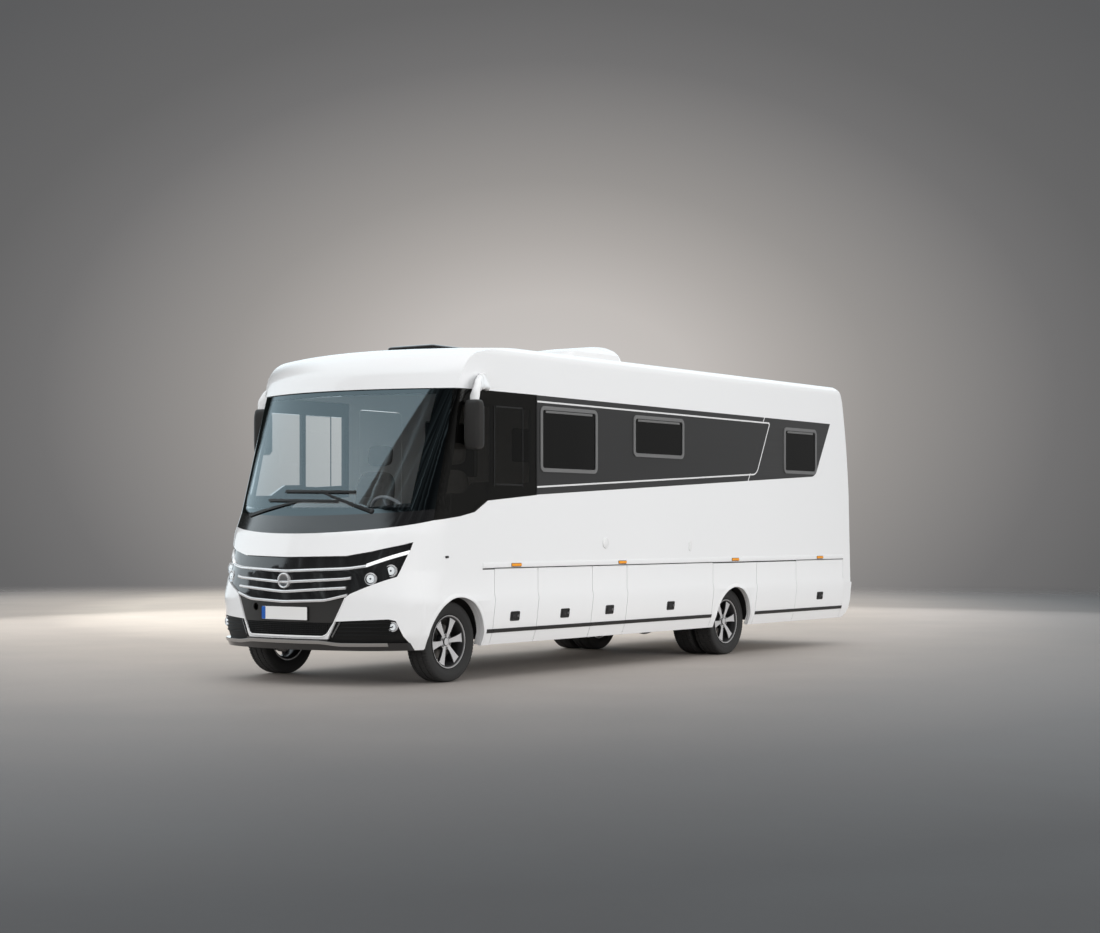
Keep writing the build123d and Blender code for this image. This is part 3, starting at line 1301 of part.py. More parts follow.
def roof_frame(row):
    """Upstand round a roof opening with the lugs and rods of its lid."""
    middle = along((row["start"] + row["end"]) / 2)
    length = row["end"] - row["start"]
    axis_y, axis_z = lid_axis(row)
    with BuildPart() as frame:
        with Locations((0, middle, ROOF_Z)):
            Box(2 * row["half"] + 24, length + 24, FRAME_RISE, align=(Align.CENTER, Align.CENTER, Align.MIN))
            Box(2 * row["half"] + 80, length + 80, 6, align=(Align.CENTER, Align.CENTER, Align.MIN))
            Box(
                2 * row["half"],
                length,
                FRAME_RISE,
                align=(Align.CENTER, Align.CENTER, Align.MIN),
                mode=Mode.SUBTRACT,
            )
        for barrel_x in LID_BARRELS_X:
            with Locations(Plane(origin=(barrel_x, axis_y, axis_z), z_dir=(1, 0, 0))):
                Cylinder(LID_ROD, 82)
            for step in (-1, 1):
                with Locations((barrel_x + step * 37, axis_y, ROOF_Z)):
                    Box(8, 20, axis_z + 8 - ROOF_Z, align=(Align.CENTER, Align.CENTER, Align.MIN))
    return frame.part


def roof_lid(row):
    """Domed lid that rests on its frame and swings on two barrels behind it."""
    middle = along((row["start"] + row["end"]) / 2)
    length = row["end"] - row["start"] + 2 * LID_LAP
    axis_y, axis_z = lid_axis(row)
    low_z = ROOF_Z + FRAME_RISE + SEAT_GAP
    with BuildPart() as lid:
        for height, shrink in ((0, 0), (LID_RISE - 20, 6), (LID_RISE, 50)):
            with BuildSketch(Plane.XY.offset(low_z + height)):
                with Locations((0, middle)):
                    Rectangle(2 * row["half"] + 2 * LID_LAP - 2 * shrink, length - 2 * shrink)
        loft(ruled=True)
        for barrel_x in LID_BARRELS_X:
            with Locations((barrel_x, axis_y - 10, axis_z)):
                Box(60, 24, 10)
            with Locations(Plane(origin=(barrel_x, axis_y, axis_z), z_dir=(1, 0, 0))):
                Cylinder(LID_BARREL, 60)
                Cylinder(LID_ROD + RUNNING_GAP, 62, mode=Mode.SUBTRACT)
    return lid.part


with BuildPart() as skylight_frames:
    add(roof_frame(SKYLIGHT_FRONT))
    add(roof_frame(SKYLIGHT_REAR))
export("skylight_frames", skylight_frames.part)
export("skylight_front", roof_lid(SKYLIGHT_FRONT))
export("skylight_rear", roof_lid(SKYLIGHT_REAR))


# ---------------------------------------------------------------- rear lamps
REAR_LAMPS = {"x": 1010, "z": 1150, "width": 150, "height": 520, "proud": 14}
with BuildPart() as rear_lamps:
    add(tail_solid(-REAR_LAMPS["proud"]))
    add(tail_solid(0), mode=Mode.SUBTRACT)
    with BuildSketch(Plane.XZ.offset(-along(6800))):
        with Locations((REAR_LAMPS["x"], REAR_LAMPS["z"]), (-REAR_LAMPS["x"], REAR_LAMPS["z"])):
            Rectangle(REAR_LAMPS["width"], REAR_LAMPS["height"])
    extrude(amount=-1000, mode=Mode.INTERSECT)
export("rear_lamps", rear_lamps.part)
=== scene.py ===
"""Looks of a coach-built motorhome: paint, glazing, lamps, wheels, trim and cab furniture on its frame."""

import logging
import math
from collections.abc import Callable
from dataclasses import dataclass
from enum import Enum

import bmesh
import bpy
import numpy as np
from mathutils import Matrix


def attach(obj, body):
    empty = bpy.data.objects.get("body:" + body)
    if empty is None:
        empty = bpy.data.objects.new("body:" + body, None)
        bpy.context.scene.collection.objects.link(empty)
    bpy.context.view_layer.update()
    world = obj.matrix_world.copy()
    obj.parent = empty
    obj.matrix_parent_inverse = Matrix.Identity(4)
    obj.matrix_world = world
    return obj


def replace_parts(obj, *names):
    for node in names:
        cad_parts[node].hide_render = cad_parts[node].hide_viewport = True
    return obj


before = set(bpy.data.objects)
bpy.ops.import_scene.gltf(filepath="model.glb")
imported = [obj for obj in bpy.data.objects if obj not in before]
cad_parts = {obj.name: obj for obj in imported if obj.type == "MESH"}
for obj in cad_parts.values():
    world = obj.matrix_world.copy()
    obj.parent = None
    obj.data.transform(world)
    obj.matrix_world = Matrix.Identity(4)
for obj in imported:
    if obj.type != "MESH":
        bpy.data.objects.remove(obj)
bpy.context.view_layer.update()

LOG = logging.getLogger("motorhome")
Array = np.ndarray
Rgb = tuple[float, float, float]

FRONT_AXLE = -3.215
REAR_AXLE = 1.525
HALF_WIDTH = 1.140
AXLE_HEIGHT = 0.350
ROOF_HEIGHT = 2.950


def along(place: float) -> float:
    """Frame Y of a place given in metres behind the front axle."""
    return FRONT_AXLE + place


class Side(Enum):
    """Which side of the vehicle a piece is on."""

    LEFT = 1
    RIGHT = -1

    @property
    def label(self) -> str:
        """Name used in piece and body names."""
        return self.name.lower()


# ---------------------------------------------------------------- shader kit
def arithmetic(operation: str, swapped: bool = False) -> Callable:
    """Method that joins a shade and another value in one Math node.

    Args:
        operation: the node's operation.
        swapped: puts the other value first.

    Returns:
        A function of the shade and the other value that gives the result as a shade.
    """

    def joined(shade: "Shade", other: "Shade | float") -> "Shade":
        """Result of the operation."""
        return shade.maths(operation, *((other, shade) if swapped else (shade, other)))

    return joined


class Shade:
    """A shader socket that takes part in ordinary arithmetic."""

    def __init__(self, graph: "Graph", socket: bpy.types.NodeSocket) -> None:
        """Wraps one output socket of a graph."""
        self.graph = graph
        self.socket = socket

    def maths(self, operation: str, *values: "Shade | float") -> "Shade":
        """One Math node on the given values."""
        return self.graph.add("ShaderNodeMath", {"operation": operation}, dict(enumerate(values)))

    __add__ = arithmetic("ADD")
    __radd__ = arithmetic("ADD", swapped=True)
    __sub__ = arithmetic("SUBTRACT")
    __rsub__ = arithmetic("SUBTRACT", swapped=True)
    __mul__ = arithmetic("MULTIPLY")
    __rmul__ = arithmetic("MULTIPLY", swapped=True)
    __truediv__ = arithmetic("DIVIDE")
    __pow__ = arithmetic("POWER")
    least = arithmetic("MINIMUM")
    most = arithmetic("MAXIMUM")

    def __abs__(self) -> "Shade":
        """Size without sign."""
        return self.maths("ABSOLUTE", self)

    def sine(self) -> "Shade":
        """Sine of a value in radians."""
        return self.maths("SINE", self)

    def rises(self, edge: float, soft: float = 0.0008) -> "Shade":
        """Smooth step: 0 below an edge and 1 above it.

        Args:
            edge: value at which the step is half way.
            soft: half width of the step.

        Returns:
            The step as a value from 0 to 1.
        """
        settings = {"interpolation_type": "SMOOTHSTEP", "clamp": True}
        limits = {"Value": self, "From Min": edge - soft, "From Max": edge + soft}
        return self.graph.add("ShaderNodeMapRange", settings, limits)

    def within(self, low: float, high: float, soft: float = 0.0008) -> "Shade":
        """1 between two edges and 0 outside them."""
        return self.rises(low, soft) * (1.0 - self.rises(high, soft))


class Graph:
    """A material's or world's nodes, with one way to add each of them."""

    def __init__(self, tree: bpy.types.NodeTree) -> None:
        """Takes over a node tree and empties it."""
        self.tree = tree
        self.tree.nodes.clear()

    def add(
        self, kind: str, settings: dict | None = None, inputs: dict | None = None, output: int | str = 0
    ) -> Shade:
        """Adds a node.

        Args:
            kind: the node's type.
            settings: its properties, set first; "stops" fills a colour ramp.
            inputs: values or shades for its sockets, by name or number.
            output: which of its outputs to hand back.

        Returns:
            The output socket as a shade.
        """
        node = self.tree.nodes.new(kind)
        for name, value in (settings or {}).items():
            if name == "stops":
                ramp = node.color_ramp
                while len(ramp.elements) < len(value):
                    ramp.elements.new(0.5)
                for element, (place, colour) in zip(ramp.elements, value):
                    element.position = place
                    element.color = (*colour, 1.0)
            else:
                setattr(node, name, value)
        for name, value in (inputs or {}).items():
            self.feed(node.inputs[name], value)
        return Shade(self, node.outputs[output]) if node.outputs else None

    def feed(self, socket: bpy.types.NodeSocket, value: "Shade | float | Rgb") -> None:
        """Links a shade to a socket, or sets a plain value on it."""
        if isinstance(value, Shade):
            self.tree.links.new(value.socket, socket)
        elif isinstance(value, tuple) and len(value) == 3 and len(socket.default_value) == 4:
            socket.default_value = (*value, 1.0)
        else:
            socket.default_value = value

    def place(self) -> Shade:
        """Object coordinates."""
        return self.add("ShaderNodeTexCoord", output="Object")

    def axes(self, vector: Shade | None = None) -> tuple[Shade, Shade, Shade]:
        """X, Y and Z of a vector, or of the object coordinates."""
        split = self.add("ShaderNodeSeparateXYZ", inputs={0: vector or self.place()})
        outputs = split.socket.node.outputs
        return tuple(Shade(self, outputs[index]) for index in range(3))

    def vector(self, x: "Shade | float", y: "Shade | float", z: "Shade | float") -> Shade:
        """A vector from three values."""
        return self.add("ShaderNodeCombineXYZ", inputs={0: x, 1: y, 2: z})

    def noise(
        self, scale: float, detail: float = 2.0, stretch: Rgb = (1, 1, 1), at: Shade | None = None
    ) -> Shade:
        """Fractal noise from 0 to 1.

        Args:
            scale: cells per metre.
            detail: octaves.
            stretch: factor on each axis of the coordinates.
            at: vector to read in place of the object coordinates.

        Returns:
            The noise value.
        """
        base = at or self.place()
        moved = self.add("ShaderNodeVectorMath", {"operation": "MULTIPLY"}, {0: base, 1: stretch})
        return self.add("ShaderNodeTexNoise", {}, {"Vector": moved, "Scale": scale, "Detail": detail})

    def blend(self, share: "Shade | float", first: "Shade | Rgb", second: "Shade | Rgb") -> Shade:
        """Colour mix: first at share 0 and second at share 1."""
        settings = {"data_type": "RGBA", "clamp_factor": True}
        return self.add("ShaderNodeMix", settings, {0: share, 6: first, 7: second}, output=2)

    def product(self, first: "Shade | Rgb", second: "Shade | Rgb") -> Shade:
        """Colour product."""
        settings = {"data_type": "RGBA", "blend_type": "MULTIPLY"}
        return self.add("ShaderNodeMix", settings, {0: 1.0, 6: first, 7: second}, output=2)

    def ramp(self, stops: tuple | list, at: "Shade | float") -> Shade:
        """Colour ramp of (place, colour) stops read at a value."""
        return self.add("ShaderNodeValToRGB", {"stops": stops}, {0: at})

    def relief(self, height: Shade, strength: float, distance: float) -> Shade:
        """Bump from a height value."""
        return self.add("ShaderNodeBump", {}, {"Height": height, "Strength": strength, "Distance": distance})

    def surface(self, **inputs: "Shade | float | Rgb") -> Shade:
        """Principled shader; underscores in the names stand for spaces."""
        named = {name.replace("_", " "): value for name, value in inputs.items()}
        return self.add("ShaderNodeBsdfPrincipled", {}, named)

    def result(self, shader: Shade) -> None:
        """Links a shader to the material's output."""
        self.add("ShaderNodeOutputMaterial", inputs={"Surface": shader})


# ---------------------------------------------------------------- finishes
@dataclass(frozen=True)
class Finish:
    """A surface finish that knows how to make its own material."""

    label: str = "finish"

    def shade(self, graph: Graph) -> Shade:
        """Builds the finish's shader in a graph."""
        raise NotImplementedError

    def material(self) -> bpy.types.Material:
        """The finish's material, made once and shared."""
        found = bpy.data.materials.get(self.label)
        if found is None:
            found = bpy.data.materials.new(self.label)
            found.use_nodes = True
            graph = Graph(found.node_tree)
            graph.result(self.shade(graph))
        return found


@dataclass(frozen=True)
class CoachPaint(Finish):
    """Solid colour under clear coat, with faint orange peel and uneven polish."""

    colour: Rgb = (0.84, 0.845, 0.85)
    roughness: float = 0.28
    peel: float = 0.03

    def base(self, graph: Graph) -> Shade | Rgb:
        """Colour of the paint before small variation."""
        return self.colour

    def shade(self, graph: Graph) -> Shade:
        """Principled paint: colour and polish drift slowly in wide soft patches over a fine orange peel."""
        patches = graph.noise(0.7, 0.0)
        drift = graph.blend(patches, (0.988, 0.99, 0.992), (1.0, 1.0, 1.0))
        return graph.surface(
            Base_Color=graph.product(self.base(graph), drift),
            Roughness=self.roughness + 0.05 * patches,
            Coat_Weight=1.0 - 0.1 * patches,
            Coat_Roughness=0.06,
            Coat_IOR=1.5,
            Normal=graph.relief(graph.noise(420.0, 1.0), self.peel, 0.001),
        )


@dataclass(frozen=True)
class Livery(CoachPaint):
    """Coach paint with the dark side band and its fine white lines, as places and heights in metres."""

    band: Rgb = (0.024, 0.024, 0.0245)
    line_colour: Rgb = (0.78, 0.78, 0.78)
    band_start: float = 1.147
    top: tuple[float, float] = (2.5416, -0.0033)
    foot: tuple[float, float] = (1.5759, 0.0516)
    tail: tuple = ((6.578, 1.990), (6.892, 2.519))
    tail_radius: float = 0.07
    inner_foot: tuple[float, float] = (1.6474, 0.0503)
    inner_tail: tuple = ((5.205, 1.930), (5.490, 2.480))
    inner_drop: float = 0.056
    inner_radii: tuple[float, float] = (0.06, 0.03)
    line: float = 0.0075
    tick_above: tuple = ((5.335, 2.475), (5.376, 2.530))
    tick_below: tuple = ((5.000, 1.820), (5.052, 1.906))
    tick_heights: tuple[float, float] = (2.470, 1.915)
    tick: float = 0.006

    def slanted(self, place: Shade, height: Shade, ends: tuple) -> Shade:
        """Signed distance ahead of the slanted line through two (place, height) points."""
        low, high = ends
        run = (high[0] - low[0]) / (high[1] - low[1])
        lean = math.sqrt(1 + run * run)
        return (low[0] + (height - low[1]) * run - place) / lean

    def base(self, graph: Graph) -> Shade:
        """White with the band: a mask from straight edges with a rounded corner, then the lines on it."""
        x, y, height = graph.axes()
        place = y - FRONT_AXLE
        under_top = (self.top[0] + self.top[1] * place) - height
        over_foot = height - (self.foot[0] + self.foot[1] * place)
        corner = self.rounded(self.slanted(place, height, self.tail), over_foot, self.tail_radius)
        on_side = abs(x).rises(HALF_WIDTH - 0.012)
        band = under_top.rises(0.0) * corner.rises(0.0) * place.rises(self.band_start) * on_side
        over_inner = height - (self.inner_foot[0] + self.inner_foot[1] * place)
        inner = self.rounded(self.slanted(place, height, self.inner_tail), over_inner, self.inner_radii[0])
        inside = self.rounded(inner, under_top - self.inner_drop, self.inner_radii[1])
        lines = 1.0 - (abs(inside) - self.line).rises(0.0)
        above = 1.0 - abs(self.slanted(place, height, self.tick_above)).rises(self.tick)
        below = 1.0 - abs(self.slanted(place, height, self.tick_below)).rises(self.tick)
        high, low = self.tick_heights
        ticks = above * height.rises(high) + below * (1.0 - height.rises(low))
        streaks = graph.noise(5.0, 2.0, stretch=(1.0, 0.2, 16.0))
        outside = 1.0 - inside.rises(0.0)
        dark = graph.blend(streaks * (0.3 + 0.6 * outside), self.band, tuple(1.8 * c for c in self.band))
        marked = graph.blend((lines + ticks).least(1.0) * 0.97, dark, self.line_colour)
        return graph.blend(band, self.colour, marked)

    @staticmethod
    def rounded(first: Shade, second: Shade, radius: float) -> Shade:
        """Signed distance inside two straight edges whose corner has a radius."""
        away_first = (radius - first).most(0.0)
        away_second = (radius - second).most(0.0)
        reach = (away_first * away_first + away_second * away_second) ** 0.5
        return radius - reach + ((first.least(second) - radius).most(0.0))


@dataclass(frozen=True)
class Plastic(Finish):
    """Moulded plastic with a leathery grain."""

    colour: Rgb = (0.018, 0.018, 0.019)
    roughness: float = 0.5
    grain: float = 0.25
    grain_scale: float = 900.0
    coat: float = 0.0

    def shade(self, graph: Graph) -> Shade:
        """Dark base with slight fading and a cell grain as relief."""
        fading = graph.noise(4.0, 4.0)
        cells = graph.noise(self.grain_scale, 2.0)
        paler = tuple(min(1.0, 1.35 * c + 0.002) for c in self.colour)
        return graph.surface(
            Base_Color=graph.blend(fading, self.colour, paler),
            Roughness=self.roughness + 0.15 * (fading - 0.5),
            Coat_Weight=self.coat,
            Coat_Roughness=0.08,
            Normal=graph.relief(cells, self.grain, 0.0006),
        )


@dataclass(frozen=True)
class MetalFinish(Finish):
    """Bare, plated or metallic-painted metal."""

    colour: Rgb = (0.8, 0.8, 0.81)
    metallic: float = 1.0
    roughness: float = 0.15
    fleck: float = 0.06
    relief: float = 0.05
    scale: float = 60.0
    stretch: Rgb = (1.0, 1.0, 1.0)
    coat: float = 0.0

    def shade(self, graph: Graph) -> Shade:
        """Metal whose tone and polish vary with a stretched noise."""
        brush = graph.noise(self.scale, 3.0, self.stretch)
        patches = graph.noise(5.0, 2.0)
        darker = tuple(c * (1.0 - 4 * self.fleck) for c in self.colour)
        return graph.surface(
            Base_Color=graph.blend(brush * 0.7 + patches * 0.3, darker, self.colour),
            Metallic=self.metallic,
            Roughness=self.roughness + 2 * self.fleck * (brush - 0.5),
            Coat_Weight=self.coat,
            Normal=graph.relief(brush, self.relief, 0.0005),
        )


@dataclass(frozen=True)
class TurnedAlloy(Finish):
    """Machined wheel alloy: lathe rings about the axle at a height and place, lacquered."""

    centre_y: float = FRONT_AXLE
    colour: Rgb = (0.80, 0.80, 0.81)
    # painted shade: colour of the spoke sides and pockets
    painted_pocket_shade: Rgb = (0.06, 0.06, 0.063)
    ring_rate: float = 5200.0

    def shade(self, graph: Graph) -> Shade:
        """Rings from the distance to the axle; faces that look outward keep the bright alloy, and the sides
        and pockets are painted dark as shade.
        """
        _, y, z = graph.axes()
        across = y - self.centre_y
        up = z - AXLE_HEIGHT
        radius = (across * across + up * up) ** 0.5
        rings = (radius * self.ring_rate).sine() * 0.5 + 0.5
        cloud = graph.noise(30.0, 3.0)
        normal = graph.add("ShaderNodeNewGeometry", output="Normal")
        outward = abs(graph.axes(normal)[0])
        face = outward.rises(0.80, 0.12)
        bright = graph.blend(cloud, tuple(0.85 * c for c in self.colour), self.colour)
        return graph.surface(
            # painted shade: sides and pockets darker than the outward faces
            Base_Color=graph.blend(face, self.painted_pocket_shade, bright),
            Metallic=0.75 - 0.30 * face,
            Roughness=0.45 - 0.15 * face + 0.06 * cloud,
            Coat_Weight=0.4,
            Coat_Roughness=0.06,
            Normal=graph.relief(rings, 0.06, 0.0003),
        )


def turned_alloy(front: bool) -> TurnedAlloy:
    """Alloy whose lathe rings are about the front or the rear axle."""
    label = "turned_alloy_front" if front else "turned_alloy_rear"
    return TurnedAlloy(label, centre_y=FRONT_AXLE if front else REAR_AXLE)


@dataclass(frozen=True)
class TyreRubber(Finish):
    """Black tyre rubber, greyer with dust in broad patches."""

    colour: Rgb = (0.006, 0.006, 0.0062)

    def shade(self, graph: Graph) -> Shade:
        """Fine pitted relief and a dusty cast in broad patches."""
        dust = graph.noise(7.0, 4.0)
        pits = graph.noise(700.0, 2.0)
        return graph.surface(
            Base_Color=graph.blend(dust ** 2.0, self.colour, (0.011, 0.0108, 0.0105)),
            Roughness=0.58 + 0.2 * dust,
            Specular_IOR_Level=0.15,
            Normal=graph.relief(pits, 0.2, 0.0006),
        )


@dataclass(frozen=True)
class Glazing(Finish):
    """Tinted glass: what is behind it, dimmed, under a mirror-like skin."""

    tint: Rgb = (0.90, 0.93, 0.94)
    right_tint_painted_light: Rgb | None = None
    mirror: Rgb = (0.86, 0.93, 1.0)
    gloss: float = 0.10
    haze: float = 0.012
    facing_share: float = 0.04
    most_share: float = 0.96

    def body_tint(self, graph: Graph) -> Shade | Rgb:
        """Colour that the glass lets through; a clearer tint on the right is painted light that brightens the
        far windows.
        """
        if self.right_tint_painted_light is None:
            return self.tint
        return graph.blend(graph.axes()[0].rises(0.0, 0.01), self.right_tint_painted_light, self.tint)

    def shade(self, graph: Graph) -> Shade:
        """A see-through layer and, on outward faces, a mirror that grows towards grazing views."""
        smear = graph.noise(2.0, 1.0)
        clear = graph.add("ShaderNodeBsdfTransparent", {}, {"Color": self.body_tint(graph)})
        skin = graph.surface(
            Base_Color=graph.blend(smear, tuple(0.96 * c for c in self.mirror), self.mirror),
            Metallic=1.0,
            Roughness=self.haze * (0.4 + smear),
        )
        grazing = graph.add("ShaderNodeLayerWeight", {}, {"Blend": 0.5}, output="Facing")
        outward = 1.0 - graph.add("ShaderNodeNewGeometry", output="Backfacing")
        share = ((grazing ** 5.0) * self.most_share + (self.facing_share + self.gloss)).least(self.most_share)
        return graph.add("ShaderNodeMixShader", {}, {0: share * outward, 1: clear, 2: skin})


@dataclass(frozen=True)
class Windshield(Glazing):
    """Laminated screen with a black printed border."""

    half: float = 0.968
    low: float = 1.508
    high: float = 2.492

    def body_tint(self, graph: Graph) -> Shade:
        """Clear inside the printed border and black within it, with a short row of fading between."""
        x, _, z = graph.axes()
        inside = (1.0 - abs(x).rises(self.half, 0.004)) * z.within(self.low, self.high, 0.006)
        return graph.blend(inside, (0.0, 0.0, 0.0), self.tint)


@dataclass(frozen=True)
class DarkGlass(Finish):
    """Glass so dark that only its polished skin and a trace of its body show."""

    colour: Rgb = (0.004, 0.0042, 0.004)
    paler: Rgb = (0.010, 0.0105, 0.0095)

    def shade(self, graph: Graph) -> Shade:
        """Near-black body under a clear coat; soft upright bands drift across it."""
        bands = graph.noise(2.6, 1.0, stretch=(1.0, 1.0, 0.15))
        return graph.surface(
            Base_Color=graph.blend(bands, self.colour, self.paler),
            Roughness=0.05 + 0.05 * bands,
            Coat_Weight=0.4,
            Coat_Roughness=0.01,
            Specular_IOR_Level=0.35,
        )


@dataclass(frozen=True)
class LampLens(Finish):
    """Moulded lamp lens with fine flutes and a little light of its own."""

    colour: Rgb = (0.9, 0.9, 0.92)
    glow: float = 0.0
    roughness: float = 0.12
    flutes: float = 420.0

    def shade(self, graph: Graph) -> Shade:
        """Clear colour deepened by upright flutes."""
        x, y, _ = graph.axes()
        flutes = ((x + y) * self.flutes).sine() * 0.5 + 0.5
        deep = tuple(0.72 * c for c in self.colour)
        colour = graph.blend(flutes, deep, self.colour)
        return graph.surface(
            Base_Color=colour,
            Roughness=self.roughness + 0.05 * flutes,
            Coat_Weight=1.0,
            Coat_Roughness=0.02,
            Emission_Color=colour,
            Emission_Strength=self.glow,
            Normal=graph.relief(flutes, 0.12, 0.0006),
        )


@dataclass(frozen=True)
class SeatCloth(Finish):
    """Woven upholstery: warp over weft, with colour drifting between threads."""

    warp: Rgb = (0.36, 0.33, 0.29)
    weft: Rgb = (0.50, 0.46, 0.41)
    threads: float = 2600.0

    def shade(self, graph: Graph) -> Shade:
        """Product of two thread waves as weave, on slow stains."""
        x, y, z = graph.axes()
        over = (x * self.threads).sine()
        under = ((y + z) * self.threads).sine()
        weave = over * under * 0.5 + 0.5
        drift = graph.noise(9.0, 3.0)
        return graph.surface(
            Base_Color=graph.blend(weave * 0.6 + drift * 0.4, self.warp, self.weft),
            Roughness=0.88 - 0.08 * drift,
            Sheen_Weight=0.25,
            Normal=graph.relief(weave, 0.3, 0.0006),
        )


@dataclass(frozen=True)
class Boarding(Finish):
    """Sheet or board stock such as floor board and galvanised sheet."""

    colour: Rgb = (0.42, 0.36, 0.28)
    paler: Rgb = (0.52, 0.46, 0.38)
    metallic: float = 0.0
    roughness: float = 0.6
    scale: float = 6.0
    stretch: Rgb = (1.0, 0.15, 1.0)

    def shade(self, graph: Graph) -> Shade:
        """Grain from a stretched noise, read twice."""
        grain = graph.noise(self.scale, 5.0, self.stretch)
        fine = graph.noise(self.scale * 22, 2.0, self.stretch)
        return graph.surface(
            Base_Color=graph.blend(grain * 0.75 + fine * 0.25, self.colour, self.paler),
            Metallic=self.metallic,
            Roughness=self.roughness + 0.14 * (grain - 0.5),
            Normal=graph.relief(fine, 0.12, 0.0008),
        )


WHITE = CoachPaint("white_coach_paint")
SIDE_LIVERY = Livery("white_coach_paint_with_side_band")
SOFT_WHITE = CoachPaint("white_moulded_plastic", colour=(0.80, 0.80, 0.80), roughness=0.4, peel=0.02)
CHARCOAL = Plastic("charcoal_mirror_plastic", colour=(0.022, 0.021, 0.020), roughness=0.42, grain=0.15)
BLACK_PLASTIC = Plastic("black_grained_plastic")
TRIM_BLACK = Plastic("black_trim_strip", colour=(0.014, 0.014, 0.014), roughness=0.4, grain=0.1)
GLOSS_BLACK = Plastic(
    "gloss_black_panel", colour=(0.008, 0.008, 0.0085), roughness=0.12, grain=0.01, coat=1.0
)
GUNMETAL = MetalFinish(
    "gunmetal_paint", colour=(0.075, 0.073, 0.070), metallic=0.6, roughness=0.34,
    relief=0.02, scale=900.0, coat=0.6,
)
FRAME_GREY = MetalFinish(
    "anodised_window_frame", colour=(0.30, 0.30, 0.30), metallic=0.5, roughness=0.42,
    relief=0.02, scale=500.0,
)
CHROME = MetalFinish(
    "bright_chrome", colour=(0.90, 0.90, 0.91), metallic=0.55, roughness=0.14, fleck=0.015, relief=0.01,
)
# painted highlight: bright metal for the strip that stands in for the highlight on the dark bumper lip
PAINTED_LIP_HIGHLIGHT = MetalFinish(
    "bumper_lip_painted_highlight", colour=(0.50, 0.49, 0.48), metallic=0.8, roughness=0.30, fleck=0.03, relief=0.01,
)
SATIN = MetalFinish("satin_silver", colour=(0.62, 0.62, 0.63), roughness=0.3, fleck=0.03, relief=0.02)
STEEL = MetalFinish("zinc_plated_steel", colour=(0.55, 0.56, 0.57), roughness=0.38, fleck=0.08)
DISC_STEEL = MetalFinish("brake_steel", colour=(0.42, 0.41, 0.40), roughness=0.34, fleck=0.06, scale=300.0)
CHASSIS = MetalFinish(
    "chassis_black", colour=(0.020, 0.020, 0.020), metallic=0.1, roughness=0.55, relief=0.2, scale=180.0,
)
CAST_IRON = MetalFinish(
    "cast_iron", colour=(0.09, 0.085, 0.08), metallic=0.7, roughness=0.6, relief=0.4, scale=220.0,
)
SHEET_STEEL = Boarding(
    "galvanised_sheet", colour=(0.42, 0.43, 0.44), paler=(0.55, 0.56, 0.57),
    metallic=0.8, roughness=0.45, stretch=(1, 1, 1),
)
FLOOR_BOARD = Boarding("floor_board")
TYRE = TyreRubber("tyre_rubber")
SLAT_BLACK = Plastic("bumper_slat_black", colour=(0.005, 0.005, 0.005), roughness=0.6, grain=0.1)
WIPER_BLACK = Plastic("wiper_black", colour=(0.006, 0.006, 0.006), roughness=0.45, grain=0.1)
# painted shade: dark strips that deepen the seams between the side panels
PAINTED_SEAM_SHADE = Plastic("seam_painted_shade", colour=(0.010, 0.010, 0.010), roughness=0.7)
LAMP_WHITE = LampLens("lamp_bulb_glass", colour=(0.86, 0.87, 0.86), glow=0.35, flutes=0.0)
SCREEN = Windshield(
    "windshield_glass", tint=(0.97, 0.985, 0.99), mirror=(0.76, 0.93, 1.0), gloss=0.095, haze=0.003,
)
# painted light: the right cab glass is nearly clear so the far window looks brighter than the left
CAB_GLASS = Glazing(
    "cab_side_glass_tint", tint=(0.50, 0.49, 0.47), right_tint_painted_light=(0.985, 0.99, 0.99),
    mirror=(0.95, 0.95, 0.93), gloss=0.02,
)
DARK_PANE = DarkGlass("dark_window_pane", colour=(0.0015, 0.0015, 0.0014), paler=(0.004, 0.004, 0.0038))
SMOKED = DarkGlass("smoked_roof_light", colour=(0.012, 0.012, 0.012), paler=(0.020, 0.020, 0.020))
CLEAR_LENS = Glazing("clear_lamp_lens", tint=(0.97, 0.98, 0.99), mirror=(1.0, 1.0, 1.0), gloss=0.05)
AMBER = LampLens("amber_lens", colour=(0.95, 0.36, 0.02), glow=0.12)
RED = LampLens("red_lens", colour=(0.55, 0.012, 0.012), glow=0.05)
DAYLIGHT = LampLens("daylight_lens", colour=(0.93, 0.94, 0.95), glow=0.50, flutes=0.0)
REFLECTOR = MetalFinish("lamp_reflector", colour=(0.88, 0.88, 0.9), roughness=0.05, fleck=0.01, relief=0.0)
MIRROR_GLASS = MetalFinish("mirror_glass", colour=(0.90, 0.91, 0.92), roughness=0.02, fleck=0.0, relief=0.0)
PLATE_WHITE = CoachPaint("blank_plate", colour=(0.80, 0.80, 0.79), roughness=0.35)
PLATE_BLUE = CoachPaint("plate_blue_band", colour=(0.010, 0.10, 0.42), roughness=0.35)
DASH = Plastic("dash_plastic", colour=(0.035, 0.035, 0.036), roughness=0.6, grain=0.4, grain_scale=600.0)
CLOTH = SeatCloth("seat_weave", warp=(0.075, 0.07, 0.066), weft=(0.105, 0.10, 0.095))

